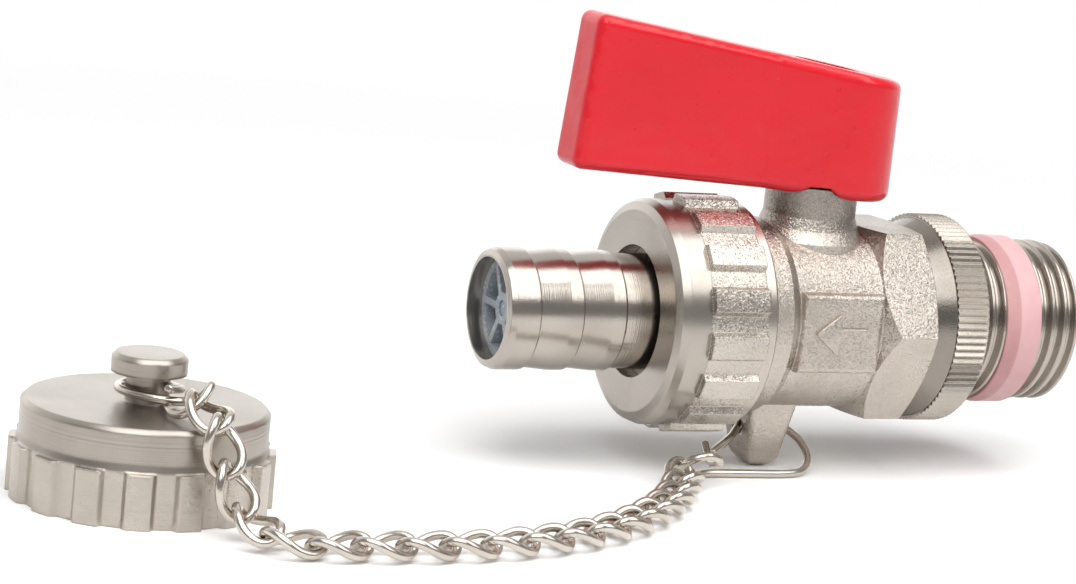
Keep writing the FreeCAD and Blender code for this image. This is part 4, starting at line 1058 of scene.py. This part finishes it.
    def cap_clip(self) -> bpy.types.Object:
        """Figure of eight round the knob's neck and round the first link.

        Returns:
            The clip.
        """
        room = (self.knob_height - self.knob_head) / 2
        scale = (self.wide, self.wide, room)
        start = np.array([(1.84, -0.36, 1.7), (1.36, 0.39, 1.4), (0.68, 0.86, 1.06)]) * scale
        bend = np.radians(np.arange(90, 271, 36))
        neck = np.stack([np.cos(bend), np.sin(bend), np.full_like(bend, 0.88)], axis=1) * scale
        cross = np.array([(0.68, -0.86, 0.88), (1.36, -0.39, 0.82), (1.87, 0.27, 0.82)]) * scale
        eye = self.link_width / 2
        lead = np.array([(self.eye - 1.09 * eye, 0.75 * eye, 1.4 * room)])
        turn = np.array([(-0.34, 0.64), (0.0, 0.0), (-0.26, -0.6), (-0.83, -0.75)]) * eye
        turn = np.hstack([turn + (self.eye, 0), self.cap_eye_rise + turn[:, 1:] * self.tilt])
        end = np.array([(-1.28, -0.68, 0.0), (-1.62, -0.57, 0.0)]) * eye + (self.eye, 0, self.wire)
        reach, aside, z = np.vstack([start, neck, cross, lead, turn, end]).T
        points = self.by_cap(reach, aside, self.top_z + z)
        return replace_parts(self.clip("cap_wire", points), "cap_clip")

    def build(self) -> None:
        """Builds the links and both clips and dresses them.

        The bow is found by halving, so that the route just holds all the links.
        """
        slack, full = 0.0, self.bow_limit
        for _ in range(self.bow_halvings):
            bow = (slack + full) / 2
            slack, full = (slack, bow) if len(self.meetings(bow)) > self.links else (bow, full)
        places = self.meetings(full)
        pieces = [self.link(i + 1, places[i], places[i + 1]) for i in range(self.links)]
        pieces += [self.lug_clip(), self.cap_clip()]
        material = WIRE.material()
        for piece in pieces:
            piece.data.materials.append(material)
            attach(piece, "valve")
        LOG.info("built %d links and two clips, bow %.1f mm", self.links, full)


@dataclass
class CheckSpring:
    """Light coil spring between the cage and the disc, built at one length.

    The real spring closes up as the disc lifts.
    """

    x0: float = -67.275
    x1: float = -63.175
    radius: float = 2.3
    wire: float = 0.45
    turns: int = 4
    steps: int = 36
    closed_share: float = 0.45

    def build(self) -> None:
        """Sweeps the wire along a helix: a turn round the pipe axis for each quarter of it."""
        share = np.linspace(0, 1, self.turns * self.steps + 1)
        turn = 2 * np.pi * self.turns * share
        spoke = np.stack([np.zeros_like(turn), np.cos(turn), np.sin(turn)], axis=1)
        along = np.outer(self.x0 + (self.x1 - self.x0) * share, (1.0, 0.0, 0.0))
        path = spoke * self.radius + along
        piece = wire_piece("spring_wire", path, spoke, self.wire / 2, Ends.CAPPED)
        piece.data.materials.append(SCREW.material())
        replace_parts(piece, "check_spring")
        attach(piece, "tail")
        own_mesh(piece)
        LOG.info("built the check spring with %d turns", self.turns)


@dataclass
class Fittings:
    """The pieces whose solids have the right form and only need their finish."""

    def build(self) -> None:
        """Dresses the control, the union, the check valve and the cap."""
        dress(["handle"], LEVER_RED)
        dress(["handle_screw"], SCREW)
        dress(["stem"], STEM_BRASS)
        dress(["ball"], BALL)
        dress(["stem_o_ring", "union_gasket", "cap_gasket"], RUBBER)
        dress(["union_nut"], GRIP)
        dress(["check_cage", "check_poppet"], MILKY)
        dress(["cap"], CAP_METAL)


@dataclass(frozen=True)
class Lamp:
    """Soft rectangular lamp: its place, the point that it faces, its two sides and its watts."""

    name: str
    place: Place
    aim: Place
    size: Range
    power: float

    def build(self) -> None:
        """Stands the lamp in the scene."""
        data = bpy.data.lights.new(self.name, "AREA")
        data.shape = "RECTANGLE"
        data.size, data.size_y = (side * MM for side in self.size)
        data.energy = self.power
        lamp = bpy.data.objects.new(self.name, data)
        bpy.context.collection.objects.link(lamp)
        place = Vector(self.place)
        lamp.location = place * MM
        lamp.rotation_euler = (place - Vector(self.aim)).to_track_quat("Z", "Y").to_euler()


@dataclass
class Studio:
    """Pale floor, soft lamps and a white surround."""

    floor_z: float = -19.52
    reach: float = 3000.0
    floor_tint: Colour = (0.72, 0.72, 0.72)
    seen_tint: Colour = (1.13, 1.13, 1.13)
    floor_roughness: float = 0.9
    middle: Place = (-60.0, -5.0, 0.0)
    near: float = 110.0
    far: float = 380.0
    room: float = 0.32
    backdrop: Range = (0.0, 0.5)
    lamps: tuple[Lamp, ...] = (
        Lamp("key", (-360, -520, 560), (-50, 0, 0), (600, 420), 2.4),
        Lamp("top", (-40, -150, 620), (-50, 0, 0), (820, 360), 2.6),
        Lamp("fill", (330, -520, 560), (-30, 0, 0), (440, 420), 1.6),
        Lamp("back", (-60, 900, 260), (-60, 0, 0), (1600, 480), 1.4))

    def floor(self) -> None:
        """Level floor that keeps the object's shadow and fades to plain white away from it."""
        corner = np.array([(-1, -1), (1, -1), (1, 1), (-1, 1)]) * self.reach
        points = np.hstack([corner, np.full((4, 1), self.floor_z)])
        piece = mesh_piece("floor", points, np.array([[0, 1, 2, 3]]))
        sheet = Sheet(bpy.data.materials.new("pale_floor"))
        seen = sheet.math("MAXIMUM", *sheet.rays())
        place = sheet.split(sheet.shifted(*self.middle))
        away = sheet.length(place["X"], place["Y"])
        far = sheet.span(away, self.near * MM, self.far * MM, 0.0, 1.0)
        tint = sheet.blend(seen, self.floor_tint, sheet.blend(far, self.seen_tint, BLACK))
        glow = sheet.math("MULTIPLY", seen, far)
        sheet.finish(Base_Color=tint, Roughness=self.floor_roughness, Specular_IOR_Level=0.0,
                     Emission_Color=WHITE, Emission_Strength=glow)
        piece.data.materials.append(sheet.owner)

    def surround(self) -> None:
        """World: white to the camera, white behind to metal and glass, and a grey room as light."""
        world = bpy.data.worlds.new("surround")
        bpy.context.scene.world = world
        sheet = Sheet(world)
        camera, mirrored = sheet.rays()
        behind = sheet.span(sheet.split(sheet.place)["Y"], *self.backdrop, 0.0, 1.0)
        white = sheet.math("MAXIMUM", camera, sheet.math("MULTIPLY", mirrored, behind))
        background = sheet.nodes["Background"]
        sheet.put(background, "Strength", sheet.span(white, 0.0, 1.0, self.room, 1.0))
        sheet.put(background, "Color", WHITE)

    def build(self) -> None:
        """Sets up floor, world and lamps."""
        self.floor()
        self.surround()
        for lamp in self.lamps:
            lamp.build()


@dataclass
class PhotoCamera:
    """Camera at the photograph's viewing angle."""

    azimuth: float = -24.4
    elevation: float = 10.5
    roll: float = 6.0
    distance: float = 390.0
    focal_px: float = 3057.0
    frame_px: tuple[int, int] = (1076, 584)
    target: Place = (-30.0, 0.0, 0.0)
    target_px: Range = (795.0, 314.0)
    sensor_mm: float = 36.0
    clip_m: Range = (0.01, 20.0)

    def build(self) -> None:
        """Stands the camera so that the target falls on its pixel of the photograph."""
        a, e, r = (math.radians(v) for v in (self.azimuth, self.elevation, self.roll))
        back = Vector((math.sin(a) * math.cos(e), -math.cos(a) * math.cos(e), math.sin(e)))
        level = Vector((math.cos(a), math.sin(a), 0.0))
        upright = back.cross(level)
        right = level * math.cos(r) + upright * math.sin(r)
        up = upright * math.cos(r) - level * math.sin(r)
        wide, tall = self.frame_px
        scale = self.distance / self.focal_px
        place = (Vector(self.target) + back * self.distance
                 - right * ((self.target_px[0] - wide / 2) * scale)
                 + up * ((self.target_px[1] - tall / 2) * scale))
        data = bpy.data.cameras.new("photo_camera")
        data.sensor_width = self.sensor_mm
        data.lens = self.focal_px / wide * self.sensor_mm
        data.clip_start, data.clip_end = self.clip_m
        camera = bpy.data.objects.new("photo_camera", data)
        bpy.context.collection.objects.link(camera)
        turn = Matrix((right, up, back)).transposed().to_4x4()
        camera.matrix_world = Matrix.Translation(place * MM) @ turn
        bpy.context.scene.camera = camera


def main() -> None:
    """Builds the classes in order."""
    logging.basicConfig(level=logging.INFO, format="%(name)s: %(message)s")
    bpy.context.scene.view_settings.view_transform = "Standard"
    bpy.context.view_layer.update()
    assemblies = (BodyCasting(), Fittings(), CheckSpring(), SafetyChain(), Studio(), PhotoCamera())
    for assembly in assemblies:
        assembly.build()
        LOG.info("finished %s", type(assembly).__name__)


if __name__ == "__main__":
    main()
